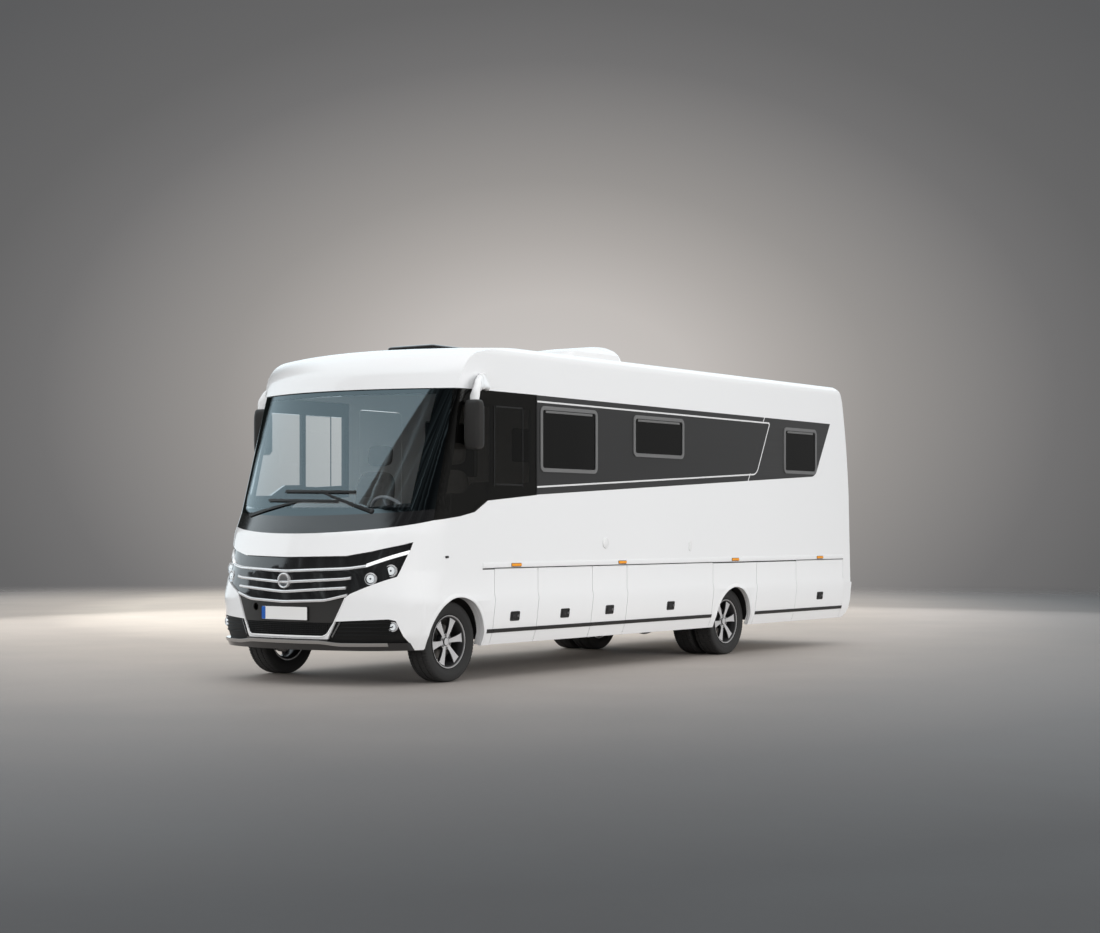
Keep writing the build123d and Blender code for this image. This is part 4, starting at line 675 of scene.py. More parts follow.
FINISHED_NODES: dict[Finish, str] = {
    SIDE_LIVERY: "side_wall_left side_wall_right",
    SOFT_WHITE: "air_conditioner",
    GLOSS_BLACK: "bumper_lip grille_housing headlamps cab_frame skylight_front skylight_rear",
    GUNMETAL: "plate_shield",
    FRAME_GREY: "window_frames",
    SLAT_BLACK: "bumper_grilles",
    BLACK_PLASTIC: "wipers skylight_frames wheel_houses",
    CHARCOAL: "mirrors",
    CHROME: "grille_bars",
    DAYLIGHT: "daylight_strips",
    REFLECTOR: "round_lamps",
    SCREEN: "windshield",
    CAB_GLASS: "cab_side_glass",
    DARK_PANE: "window_panes",
    DASH: "dashboard",
    CLOTH: "cab_seats",
    RED: "rear_lamps",
    STEEL: "hinge_rails",
    FLOOR_BOARD: "floor_structure",
    SHEET_STEEL: "locker_boxes",
    CHASSIS: "chassis_frame front_axle rear_axle knuckle_left knuckle_right",
    CAST_IRON: "engine_block",
}
NODE_FINISHES = {node: finish for finish, nodes in FINISHED_NODES.items() for node in nodes.split()}


# ---------------------------------------------------------------- mesh kit
def quads(rows: int, columns: int, around: bool = True, ring: bool = False) -> Array:
    """Faces of a grid: point (i, j) joins (i + 1, j), (i + 1, j + 1) and (i, j + 1).

    Args:
        rows: number of rows.
        columns: points in a row.
        around: joins each row's last point to its first.
        ring: joins the last row to the first.

    Returns:
        Four point numbers for each face.
    """
    i = np.arange(rows if ring else rows - 1)[:, None]
    j = np.arange(columns if around else columns - 1)[None, :]
    next_i = (i + 1) % rows
    next_j = (j + 1) % columns
    corners = (i * columns + j, next_i * columns + j, next_i * columns + next_j, i * columns + next_j)
    return np.stack(np.broadcast_arrays(*corners), axis=-1).reshape(-1, 4)


def cleaned(mesh: bpy.types.Mesh, distance: float) -> None:
    """Merges points that lie closer than a distance and turns the faces outward."""
    worked = bmesh.new()
    worked.from_mesh(mesh)
    bmesh.ops.remove_doubles(worked, verts=worked.verts, dist=distance)
    bmesh.ops.recalc_face_normals(worked, faces=worked.faces)
    worked.to_mesh(mesh)
    worked.free()


def linked(name: str, data: bpy.types.ID) -> bpy.types.Object:
    """New object in the scene that holds the given data."""
    made = bpy.data.objects.new(name, data)
    bpy.context.scene.collection.objects.link(made)
    return made


def read_points(mesh: bpy.types.Mesh) -> Array:
    """The mesh's points as rows."""
    points = np.zeros(len(mesh.vertices) * 3)
    mesh.vertices.foreach_get("co", points)
    return points.reshape(-1, 3)


def write_points(mesh: bpy.types.Mesh, points: Array) -> None:
    """Puts rows of points back into the mesh."""
    mesh.vertices.foreach_set("co", points.ravel())


def smoothed(mesh: bpy.types.Mesh) -> None:
    """Shades every face smooth."""
    mesh.polygons.foreach_set("use_smooth", [True] * len(mesh.polygons))


class Shell:
    """Closed skins gathered into one mesh, each with its own finish."""

    def __init__(self, name: str, body: str, slot: str | None = None) -> None:
        """Starts an empty piece.

        Args:
            name: the piece's name.
            body: the frame body it rides on.
            slot: name of a material slot, kept on the piece and not used.
        """
        self.name = name
        self.body = body
        self.slot = slot
        self.points: list[Array] = []
        self.faces: list[list[int]] = []
        self.marks: list[int] = []
        self.finishes: list[Finish] = []
        self.count = 0

    def _finish_index(self, finish: Finish) -> int:
        """Place of a finish in the piece's list."""
        if finish not in self.finishes:
            self.finishes.append(finish)
        return self.finishes.index(finish)

    def skin(self, grid: Array, finish: Finish, around: bool = True, ring: bool = False) -> None:
        """Adds a grid of points as a surface, closed at its first and last rows unless they join.

        Args:
            grid: points as an array of rows, columns and three coordinates.
            finish: what it is finished in.
            around: joins each row's last point to its first.
            ring: joins the last row to the first.
        """
        rows, columns = grid.shape[:2]
        faces = (quads(rows, columns, around, ring) + self.count).tolist()
        if around and not ring:
            first = np.arange(columns) + self.count
            faces.append(first[::-1].tolist())
            faces.append((first + (rows - 1) * columns).tolist())
        self.faces.extend(faces)
        self.marks.extend([self._finish_index(finish)] * len(faces))
        self.points.append(grid.reshape(-1, 3))
        self.count += rows * columns

    def lathe(
        self, profile: tuple, origin: Array | tuple, axis: Array | tuple, steps: int, finish: Finish
    ) -> None:
        """Adds a turned form; a profile that starts on the axis is left open there."""
        self.skin(turned(profile, origin, axis, steps), finish, around=profile[0][1] > 0.0, ring=True)

    def build(self, sharp: float = 35.0) -> bpy.types.Object:
        """Makes the object, merges poles, turns faces outward, and rides it on its body.

        Args:
            sharp: edges that turn more than this many degrees stay crisp.

        Returns:
            The finished object.
        """
        mesh = bpy.data.meshes.new(self.name)
        mesh.from_pydata(np.vstack(self.points).tolist(), [], self.faces)
        for finish in self.finishes:
            mesh.materials.append(finish.material())
        mesh.polygons.foreach_set("material_index", self.marks)
        cleaned(mesh, 1e-6)
        smoothed(mesh)
        mesh.set_sharp_from_angle(angle=math.radians(sharp))
        piece = linked(self.name, mesh)
        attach(piece, self.body)
        triangles = sum(len(p.vertices) - 2 for p in mesh.polygons)
        LOG.info("%s on %s: %d triangles", self.name, self.body, triangles)
        return piece


def rounded_outline(width: float, height: float, radius: float, steps: int = 6) -> Array:
    """Rounded rectangle about the origin: four quarter arcs of `steps` points joined by straight sides."""
    turn = np.linspace(0, math.pi / 2, steps)
    arc = np.stack([np.cos(turn), np.sin(turn)], axis=1) * radius
    corners = []
    for quarter, (a, b) in enumerate(((1, 1), (-1, 1), (-1, -1), (1, -1))):
        c, s = math.cos(quarter * math.pi / 2), math.sin(quarter * math.pi / 2)
        turned = arc @ np.array([[c, s], [-s, c]])
        corners.append(turned + [a * (width / 2 - radius), b * (height / 2 - radius)])
    return np.vstack(corners)


def layer(size: tuple, radius: float, centre: tuple, upright: bool = False, steps: int = 6) -> Array:
    """Rounded rectangle about a point in space, level or, when upright, facing along Y."""
    outline = rounded_outline(size[0], size[1], radius, steps)
    points = np.column_stack([outline, np.zeros(len(outline))])
    return (points[:, [0, 2, 1]] if upright else points) + centre


def stack(size: tuple, radius: float, centre: tuple, steps: tuple, upright: bool = False) -> Array:
    """Rounded rectangles one after another.

    Args:
        size: width and height of the outermost.
        radius: their corner radius.
        centre: where the stack starts.
        steps: (inward on every side, along the normal) of each.
        upright: stacks them along Y in place of Z.

    Returns:
        The rectangles as the rows of a grid.
    """
    normal = np.array((0.0, 1.0, 0.0) if upright else (0.0, 0.0, 1.0))
    return np.stack([
        layer((size[0] - 2 * inward, size[1] - 2 * inward), radius, centre + normal * reach, upright)
        for inward, reach in steps
    ])


def bar_section(height: float, depth: float, radius: float, steps: int = 4) -> Array:
    """Rounded bar section as (up, proud) points, with its back at proud 0."""
    outline = rounded_outline(height, depth, min(radius, 0.49 * height, 0.49 * depth), steps)
    return outline + [0.0, depth / 2]


def resampled(points: Array | tuple, count: int, smooth: bool = True) -> Array:
    """Points along a line through the given ones, evenly spaced; smooth rounds it with a moving average."""
    line = np.asarray(points, float)
    steps = np.linalg.norm(np.diff(line, axis=0), axis=1)
    reach = np.concatenate([[0.0], np.cumsum(steps)])
    at = np.linspace(0.0, reach[-1], count)
    even = np.stack([np.interp(at, reach, line[:, k]) for k in range(line.shape[1])], axis=1)
    if smooth and count > 8:
        width = max(3, count // 12) | 1
        padded = np.pad(even, ((width // 2, width // 2), (0, 0)), mode="reflect", reflect_type="odd")
        kernel = np.ones(width) / width
        even = np.stack([np.convolve(padded[:, k], kernel, "valid") for k in range(line.shape[1])], axis=1)
    return even


@dataclass(frozen=True)
class FrontSkin:
    """The curved front: plan arcs at each height, joined by straight lines between matching points."""

    heights: tuple = (0.300, 0.420, 0.700, 0.760, 0.970, 1.290, 1.478, 2.540)
    noses: tuple = (-0.955, -0.983, -0.985, -0.985, -0.968, -0.872, -0.780, -0.310)
    halves: tuple = (1.075, 1.118, 1.152, 1.140, 1.140, 1.140, 1.140, 1.140)
    nose_radii: tuple = (1.950, 1.950, 1.950, 1.950, 1.950, 1.800, 1.700, 2.200)
    corner_radii: tuple = (0.640, 0.640, 0.610, 0.610, 0.760, 0.580, 0.470, 0.120)

    def _section(self, level: Array, turn: Array, inset: Array) -> tuple[Array, Array]:
        """Plan point of a level: 0 to 1 runs along the nose arc, 1 to 2 round the corner arc."""
        nose = np.take(self.noses, level) + inset
        half = np.take(self.halves, level) - inset
        nose_r = np.take(self.nose_radii, level) - inset
        corner_r = np.take(self.corner_radii, level) - inset
        centre = nose + nose_r
        corner_x = half - corner_r
        corner_y = centre - np.sqrt((nose_r - corner_r) ** 2 - corner_x**2)
        meet = np.arctan2(corner_y - centre, corner_x)
        angle = -math.pi / 2 + np.minimum(turn, 1.0) * (meet + math.pi / 2)
        bend = meet * (2.0 - np.maximum(turn, 1.0))
        on_nose = turn <= 1.0
        across = np.where(on_nose, nose_r * np.cos(angle), corner_x + corner_r * np.cos(bend))
        place = np.where(on_nose, centre + nose_r * np.sin(angle), corner_y + corner_r * np.sin(bend))
        return across, place

    def _point(self, up: Array, turn: Array, inset: Array) -> tuple[Array, Array]:
        """Point at a height: matching points of the two nearest levels, shared in proportion."""
        level = np.clip(np.searchsorted(self.heights, up, side="right") - 1, 0, len(self.heights) - 2)
        low = np.take(self.heights, level)
        high = np.take(self.heights, level + 1)
        share = np.clip((up - low) / (high - low), 0.0, 1.0)
        x0, y0 = self._section(level, turn, inset)
        x1, y1 = self._section(level + 1, turn, inset)
        return x0 + (x1 - x0) * share, y0 + (y1 - y0) * share

    def place(self, across: Array, up: Array, proud: Array | float = 0.0) -> Array:
        """Points on the front at given distances across and up.

        Args:
            across: distance from the centre line.
            up: height.
            proud: distance out of the skin, measured in plan.

        Returns:
            Points, found by halving the interval of the plan parameter forty times.
        """
        across, up, proud = np.broadcast_arrays(np.asarray(across, float), up, proud)
        inset = -proud
        low = np.zeros(across.shape)
        high = np.full(across.shape, 2.0)
        for _ in range(40):
            middle = (low + high) / 2
            short = self._point(up, middle, inset)[0] < np.abs(across)
            low = np.where(short, middle, low)
            high = np.where(short, high, middle)
        place = self._point(up, (low + high) / 2, inset)[1]
        return np.stack([across, along(0.0) + place, up], axis=-1)

    def bar(self, line: Array, section: Array) -> Array:
        """Profile carried along a line on the front: the section's (up, proud) is added to each point."""
        return self.place(line[:, None, 0], line[:, None, 1] + section[None, :, 0], section[None, :, 1])


@dataclass(frozen=True)
class FlankSkin:
    """The flat side above the belt and the folded lower panels below it."""

    heights: tuple = (0.303, 0.420, 0.700, 0.760, 3.000)
    halves: tuple = (1.075, 1.118, 1.152, 1.140, 1.140)

    def place(self, side: Side, place: Array, up: Array, proud: Array | float = 0.0) -> Array:
        """Points on the side at places behind the front axle and heights."""
        place, up, proud = np.broadcast_arrays(np.asarray(place, float), up, proud)
        across = np.interp(up, self.heights, self.halves) + proud
        return np.stack([side.value * across, along(0.0) + place, up], axis=-1)

    def bar(self, side: Side, line: Array, section: Array) -> Array:
        """Profile carried along a line of (place, height) points."""
        return self.place(side, line[:, None, 0], line[:, None, 1] + section[None, :, 0], section[None, :, 1])

    def rail(self, side: Side, start: float, end: float, up: float, section: Array) -> Array:
        """Profile carried level between two places."""
        return self.bar(side, np.array([(start, up), (end, up)]), section)

    def pad(self, side: Side, centre: tuple, size: tuple, radius: float, layers: tuple) -> Array:
        """Stack of rounded outlines.

        Args:
            side: which side it is on.
            centre: place and height of its middle.
            size: length and height of the outermost layer.
            radius: corner radius of that layer.
            layers: (shrink, proud) of each layer.

        Returns:
            The layers as the rows of a grid.
        """
        rings = []
        for shrink, proud in layers:
            corner = max(radius - shrink, 0.0015)
            outline = rounded_outline(size[0] - 2 * shrink, size[1] - 2 * shrink, corner) + centre
            rings.append(self.place(side, outline[:, 0], outline[:, 1], proud))
        return np.stack(rings)


def turned(profile: tuple, origin: Array | tuple, axis: Array | tuple, steps: int = 48) -> Array:
    """Lathe form: each (distance along the axis, radius) of a profile is carried round the axis.

    Args:
        profile: the points of the section.
        origin: point on the axis.
        axis: unit direction of the axis.
        steps: points round the axis.

    Returns:
        Grid whose rows go round the axis and whose columns follow the profile.
    """
    direction = np.asarray(axis, float)
    direction = direction / np.linalg.norm(direction)
    helper = np.array([0.0, 0.0, 1.0]) if abs(direction[2]) < 0.9 else np.array([0.0, 1.0, 0.0])
    first = np.cross(helper, direction)
    first = first / np.linalg.norm(first)
    second = np.cross(direction, first)
    shape = np.asarray(profile, float)
    angle = np.linspace(0, 2 * math.pi, steps, endpoint=False)
    out = np.cos(angle)[:, None] * first + np.sin(angle)[:, None] * second
    return np.asarray(origin) + shape[None, :, :1] * direction + shape[None, :, 1:] * out[:, None, :]


def tube(path: Array, section: Array, up: tuple = (0.0, 0.0, 1.0)) -> Array:
    """Section carried along a path: its two coordinates lie on the path's side and top directions."""
    tangent = np.gradient(path, axis=0)
    tangent /= np.linalg.norm(tangent, axis=1)[:, None]
    side = np.cross(tangent, np.asarray(up, float))
    side /= np.maximum(np.linalg.norm(side, axis=1), 1e-9)[:, None]
    top = np.cross(side, tangent)
    shape = section if section.ndim == 3 else np.broadcast_to(section, (len(path), *section.shape))
    return path[:, None] + shape[..., 0, None] * side[:, None] + shape[..., 1, None] * top[:, None]


def signed_power(value: Array, power: float) -> Array:
    """Power of the size, with the sign kept."""
    return np.sign(value) * np.abs(value) ** power


def oval(width: float, height: float, power: float = 2.0, steps: int = 20) -> Array:
    """Superellipse: cosine and sine raised to 2 / power, scaled to the width and height."""
    angle = np.linspace(0, 2 * math.pi, steps, endpoint=False)
    c, s = np.cos(angle), np.sin(angle)
    shape = np.stack([signed_power(c, 2 / power), signed_power(s, 2 / power)], axis=1)
    return shape * [width / 2, height / 2]


FRONT = FrontSkin()
FLANK = FlankSkin()


# ---------------------------------------------------------------- dressing of the frame's own nodes
@dataclass
class Dressing:
    """Finishes and edge smoothing for the nodes that stay as they are."""

    smooth_angle: float = 28.0

    def dress(self) -> None:
        """Gives every shown node its finish and smooth shading split at its edges."""
        for name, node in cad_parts.items():
            finish = self.finish_of(name)
            material = finish.material()
            if not node.material_slots:
                node.data.materials.append(material)
            for place in node.material_slots:
                place.material = material
            if node.hide_render:
                continue
            self.soften(node)
            LOG.info("%s finished in %s", name, finish.label)

    def finish_of(self, name: str) -> Finish:
        """The finish of a node by its name, which is white paint where no other is given."""
        if "tyre" in name:
            return TYRE
        if "rim" in name:
            return turned_alloy(front="front" in name)
        return NODE_FINISHES.get(name, WHITE)

    def soften(self, node: bpy.types.Object) -> None:
        """Welds the node's loose triangles in a modifier and splits them again at real edges."""
        smoothed(node.data)
        weld = node.modifiers.new("weld", "WELD")
        weld.merge_threshold = 1e-5
        crease = node.modifiers.new("crease", "EDGE_SPLIT")
        crease.split_angle = math.radians(self.smooth_angle)
        crease.use_edge_sharp = False


# ---------------------------------------------------------------- wheels and tyres
@dataclass
class Wheel:
    """A six-spoke alloy wheel on one corner, with its outer rim centred at a distance across."""

    side: Side
    front: bool
    spoke_turn: float = 8.0
    spokes: int = 6
    centre_x: float = 0.933
    twin_gap: float = 0.260
    nut_circle: float = 0.0555
    nut_layers: tuple = (
        (0.988, 0.0115), (0.998, 0.0115), (0.9995, 0.0102), (1.0015, 0.0060), (1.0022, 0.0002),
    )
    tread_steps: int = 288
    sipe_depth: float = 0.006
    notch_depth: float = 0.004
    spoke_half: tuple = ((0.05, 0.085, 0.14, 0.19, 0.2105), (0.0200, 0.0215, 0.0290, 0.0395, 0.0500))
    spoke_face: tuple = ((0.05, 0.08, 0.13, 0.19, 0.2105), (0.9880, 0.9970, 1.0030, 1.0060, 1.0070))
    spoke_ring: tuple = (
        (-1.0, -0.007), (-0.90, -0.001), (-0.80, 0.0), (-0.4, -0.0018), (0.0, -0.0024), (0.4, -0.0018),
        (0.80, 0.0), (0.90, -0.001), (1.0, -0.007), (0.86, -0.030), (0.0, -0.034), (-0.86, -0.030),
    )
    disc: tuple = ((0.728, 0.045), (0.728, 0.1925), (0.744, 0.1925), (0.744, 0.045))
    drum: tuple = ((0.760, 0.045), (0.760, 0.150), (0.930, 0.150), (0.936, 0.140), (0.936, 0.045))
    rotor: tuple = (
        (0.905, 0.045), (0.905, 0.150), (0.908, 0.152), (0.930, 0.152),
        (0.933, 0.150), (0.933, 0.080), (0.940, 0.078), (0.940, 0.045),
    )
    rim: tuple = (
        (1.0252, 0.2262), (1.0250, 0.2290), (1.0200, 0.2290), (1.0165, 0.2240), (1.0080, 0.2195),
        (0.9850, 0.2120), (0.9600, 0.2030), (0.9000, 0.1980), (0.8700, 0.2050), (0.8560, 0.2150),
        (0.8460, 0.2290), (0.8410, 0.2290), (0.8425, 0.2180), (0.8560, 0.2040), (0.8800, 0.1935),
        (0.9000, 0.1905), (0.9600, 0.1925), (0.9860, 0.1990), (1.0020, 0.2075), (1.0110, 0.2105),
        (1.0190, 0.2165),
    )
    hub: tuple = (
        (0.9300, 0.0), (0.9300, 0.0760), (0.9760, 0.0780), (0.9860, 0.0740), (0.9900, 0.0690),
        (0.9905, 0.0400), (0.9960, 0.0370), (1.0000, 0.0340), (1.0010, 0.0300), (0.9995, 0.0290),
        (1.0015, 0.0200), (1.0030, 0.0),
    )

    @property
    def centre_y(self) -> float:
        """Frame Y of the axle."""
        return FRONT_AXLE if self.front else REAR_AXLE

    @property
    def body(self) -> str:
        """Frame body that turns with the wheel."""
        return self.named("front_wheel", "rear_wheels")

    def named(self, front: str, rear: str) -> str:
        """The name for this axle with its side."""
        return f"{front if self.front else rear}_{self.side.label}"

    def lathe(self, profile: tuple, shift: float = 0.0, steps: int = 96) -> Array:
        """Profile of (distance across, radius) turned about the axle."""
        moved = tuple((x + shift, r) for x, r in profile)
        return turned(moved, (0.0, self.centre_y, AXLE_HEIGHT), (self.side.value, 0.0, 0.0), steps)

    def polar(self, x: Array, radius: Array, angle: Array, aside: Array) -> Array:
        """Points from distance across, radius, angle from the rear upwards, and distance aside of it."""
        y = radius * np.cos(angle) - aside * np.sin(angle)
        z = radius * np.sin(angle) + aside * np.cos(angle)
        x, y, z = np.broadcast_arrays(x, y, z)
        return np.stack([self.side.value * x, self.centre_y + y, AXLE_HEIGHT + z], axis=-1)

    def spoke(self, turn: float) -> Array:
        """Paddle spoke: rows run outward, each a flat bar with bevelled edges and a shallow dished face."""
        radius = np.linspace(0.050, 0.2105, 14)[:, None]
        ring = np.array(self.spoke_ring)
        aside = np.interp(radius, *self.spoke_half) * ring[:, 0]
        across = np.interp(radius, *self.spoke_face) + ring[:, 1]
        bowed = np.sqrt(np.maximum(radius**2 - 0.35 * aside**2, 0.0))
        return self.polar(across, bowed, math.radians(turn), aside)

    def nut(self, turn: float) -> Array:
        """Wheel nut: six-sided rings that narrow to a domed end."""
        corner = np.linspace(0, 2 * math.pi, 6, endpoint=False)
        x, r = np.array(self.nut_layers).T[..., None]
        return self.polar(x, self.nut_circle + r * np.cos(corner), math.radians(turn), r * np.sin(corner))

    def build(self) -> None:
        """Rim, hub, spokes and nuts, the brake parts behind them, and the tyres."""
        alloy = turned_alloy(self.front)
        shell = Shell(self.named("alloy_wheel_front", "alloy_wheel_rear"), self.body, "alloy")
        shell.skin(self.lathe(self.rim, steps=128), alloy, ring=True)
        shell.skin(self.lathe(self.hub, steps=64), alloy, around=False, ring=True)
        for k in range(self.spokes):
            turn = self.spoke_turn + k * 360.0 / self.spokes
            shell.skin(self.spoke(turn), alloy)
            shell.skin(self.nut(turn + 180.0 / self.spokes), STEEL)
        if not self.front:
            shell.skin(self.lathe(self.rim, shift=-self.twin_gap), alloy, ring=True)
            shell.skin(self.lathe(self.disc, steps=64), alloy, ring=True)
            shell.skin(self.lathe(self.drum, steps=64), DISC_STEEL, ring=True)
        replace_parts(shell.build(), self.named("front_rim", "rear_rims"))
        if self.front:
            self.brake()
        self.tyres()

    def brake(self) -> None:
        """Brake disc with its bell, which turns with the wheel."""
        shell = Shell(f"brake_disc_{self.side.label}", self.body, "zinc_steel")
        shell.skin(self.lathe(self.rotor), DISC_STEEL, ring=True)
        shell.build()

    def tyres(self) -> None:
        """The tyre or the twin tyres, with grooves round the tread and sipes across its shoulders."""
        shell = Shell(self.named("tyre_front", "tyres_rear"), self.body, "tyre_rubber")
        width = 0.225 if self.front else 0.215
        for shift in (0.0,) if self.front else (0.0, -self.twin_gap):
            shell.skin(self.tread(width, self.centre_x + shift), TYRE, ring=True)
        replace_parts(shell.build(sharp=30.0), self.named("front_tyre", "rear_tyres"))

    def tread(self, width: float, centre: float) -> Array:
        """Tyre section turned about the axle; sipes and notches cut into it in turn."""
        half = width / 2
        bulge = [
            (0.070, 0.2065), (0.0800, 0.2090), (0.0805, 0.2300), (0.0880, 0.2380), (0.0900, 0.2400),
            (0.1000, 0.2560), (0.1005, 0.2580), (0.1090, 0.2750), (half, 0.2900), (half - 0.0006, 0.3020),
            (0.1085, 0.3180), (0.1060, 0.3260), (0.1020, 0.3370), (0.0950, 0.3430),
        ]
        ribs = [
            (0.0900, 0.3455), (0.0770, 0.3485), (0.0640, 0.3490), (0.0625, 0.3420), (0.0555, 0.3420),
            (0.0545, 0.3490), (0.0315, 0.3498), (0.0085, 0.3490), (0.0070, 0.3420), (0.0, 0.3420),
        ]
        outer = bulge + ribs
        inner = [(-x, r) for x, r in reversed(outer[:-1])]
        hollow = [(0.060, 0.225), (0.085, 0.270), (0.080, 0.315)]
        hollow = [(-x, r) for x, r in hollow] + hollow[::-1]
        section = np.array([*outer, *inner, *hollow])
        angle = np.linspace(0, 2 * math.pi, self.tread_steps, endpoint=False)
        shoulder = (np.abs(section[:, 0]) > 0.060) & (section[:, 1] > 0.330)
        middle = (np.abs(section[:, 0]) <= 0.060) & (section[:, 1] > 0.345)
        turn = np.arange(self.tread_steps)[:, None] % 4
        cut = self.sipe_depth * (turn == 0) * shoulder + self.notch_depth * (turn == 2) * middle
        return self.polar(centre + section[:, 0], section[:, 1] - cut, angle[:, None], 0.0)


# ---------------------------------------------------------------- side trim
@dataclass
class Flap:
    """A lower panel between two places, the body it rides on, and where its lock is."""

    side: Side
    start: float
    end: float
    body: str
    name: str
    lock: tuple[float, float] | None = None


@dataclass
class FlankTrim:
    """Belt rail, rub strips, locks, marker lamps and caps along both sides."""

    strip_height: float = 0.035
    strip_up: float = 0.425
    belt: tuple[float, float] = (0.984, 1.030)
    seam: float = 0.003
    seam_in: float = 0.0072
    flaps: tuple = (
        Flap(Side.LEFT, 0.503, 1.163, "locker_flap_left_1", "left_1", (0.816, 0.547)),
        Flap(Side.LEFT, 1.163, 2.048, "locker_flap_left_2", "left_2", (1.601, 0.547)),
        Flap(Side.LEFT, 2.048, 2.646, "locker_flap_left_3", "left_3", (2.348, 0.555)),
        Flap(Side.LEFT, 2.646, 4.278, "locker_flap_left_4", "left_4", (3.454, 0.558)),
        Flap(Side.LEFT, 5.191, 6.079, "vehicle", "left_fixed"),
        Flap(Side.LEFT, 6.079, 7.212, "locker_flap_left_5", "left_5", (6.647, 0.572)),
        Flap(Side.RIGHT, 0.503, 1.163, "locker_flap_right_1", "right_1", (0.816, 0.547)),
        Flap(Side.RIGHT, 1.163, 2.048, "vehicle", "right_fixed_1"),
        Flap(Side.RIGHT, 2.048, 2.646, "vehicle", "right_fixed_2"),
        Flap(Side.RIGHT, 2.646, 4.278, "locker_flap_right_2", "right_2", (3.454, 0.558)),
        Flap(Side.RIGHT, 5.191, 6.480, "garage_door", "right_garage", (5.836, 0.547)),
        Flap(Side.RIGHT, 6.480, 7.212, "vehicle", "right_fixed_3"),
    )
    markers: tuple = ((0.748, 0.900), (2.487, 2.628), (4.658, 4.805), (6.563, 6.708))
    belts_at: tuple = (
        (Side.LEFT, 0.330, 7.205),
        (Side.RIGHT, 0.330, 1.294), (Side.RIGHT, 1.956, 5.188), (Side.RIGHT, 6.483, 7.205),
    )
    # painted shadow under the belt: side, start and end of each black line
    painted_shadow_lines_at: tuple = (
        (Side.LEFT, 0.330, 0.500), (Side.LEFT, 4.278, 6.076), (Side.RIGHT, 0.330, 0.500),
        (Side.RIGHT, 1.166, 1.294), (Side.RIGHT, 1.956, 2.643), (Side.RIGHT, 4.278, 5.188),
        (Side.RIGHT, 6.483, 7.205),
    )
    doors: tuple = (("entry_door", 1.310, 1.940), ("garage_door", 5.197, 6.474))
    arch_foot: float = 0.310
    openings: tuple = ((0.0, 0.390, 0.085), (4.740, 0.368, 0.048))
    lip: tuple = (
        (-0.004, -0.030), (-0.004, 0.002), (0.000, 0.0045), (0.010, 0.0050), (0.022, 0.0028),
        (0.034, 0.0), (0.034, -0.003), (0.010, -0.001), (0.002, -0.004), (0.000, -0.030),
    )

    def strip(self, side: Side, start: float, end: float) -> Array:
        """Rub strip: a rounded bar carried along the panel."""
        section = bar_section(self.strip_height, 0.007, 0.003)
        return FLANK.rail(side, start + self.seam, end - self.seam, self.strip_up, section)

    def build(self) -> None:
        """Makes every piece of trim on its body."""
        for flap in self.flaps:
            shell = Shell(f"rub_strip_{flap.name}", flap.body, "black_plastic")
            shell.skin(self.strip(flap.side, flap.start, flap.end), TRIM_BLACK)
            # painted shade: a thin dark strip just inside each edge of the flap
            for place in (flap.start + self.seam_in, flap.end - self.seam_in):
                line = np.array([(place, 0.330), (place, 0.966)])
                shell.skin(FLANK.bar(flap.side, line, bar_section(0.008, 0.0008, 0.0002)), PAINTED_SEAM_SHADE)
            if flap.lock:
                self.lock(shell, flap.side, flap.lock)
            shell.build()
        self.front_ends()
        self.belts()
        self.marker_lamps()
        self.caps()
        self.arches()

    def lock(self, shell: Shell, side: Side, centre: tuple[float, float]) -> None:
        """Compression lock: bezel, sunk cup and round cylinder."""
        bezel = ((0.0, 0.0), (0.0, 0.0035), (0.002, 0.005), (0.009, 0.005), (0.013, 0.0012), (0.014, 0.0012))
        shell.skin(FLANK.pad(side, centre, (0.140, 0.086), 0.014, bezel), TRIM_BLACK)
        handle = ((0.0, 0.001), (0.0, 0.004), (0.0015, 0.005))
        place, up = centre
        shell.skin(FLANK.pad(side, (place - 0.012, up), (0.066, 0.040), 0.008, handle), BLACK_PLASTIC)
        barrel = (
            (0.000, 0.0), (0.000, 0.011), (0.0055, 0.011), (0.0065, 0.010),
            (0.0065, 0.0025), (0.004, 0.0020), (0.004, 0.0),
        )
        shell.lathe(barrel, FLANK.place(side, place + 0.045, up), (side.value, 0, 0), 24, STEEL)

    def front_ends(self) -> None:
        """Short lengths of the strip on the fixed wall ahead of the first flap."""
        shell = Shell("rub_strip_front_ends", "vehicle", "black_plastic")
        for side in Side:
            shell.skin(self.strip(side, 0.415, 0.500), TRIM_BLACK)
        shell.build()

    def belt_length(self, side: Side, start: float, end: float) -> Array:
        """Belt rail: a low rounded bar along the wall's foot."""
        section = bar_section(self.belt[1] - self.belt[0], 0.004, 0.003)
        return FLANK.rail(side, start, end, sum(self.belt) / 2, section)

    def belts(self) -> None:
        """Belt rail on the walls, parted at the entry and garage doors, which carry their own lengths; black
        lines just under it are painted shadow of the gap below the belt.
        """
        rails = Shell("belt_rails", "vehicle", "body_white")
        for side, start, end in self.belts_at:
            rails.skin(self.belt_length(side, start, end), WHITE)
        # painted shadow: a thin black line just under the belt rail
        for side, start, end in self.painted_shadow_lines_at:
            rails.skin(FLANK.rail(side, start, end, 0.974, bar_section(0.012, 0.0008, 0.0003)), TRIM_BLACK)
        rails.build()
        for body, start, end in self.doors:
            shell = Shell(f"belt_rail_{body}", body, "body_white")
            shell.skin(self.belt_length(Side.RIGHT, start, end), WHITE)
            shell.build()

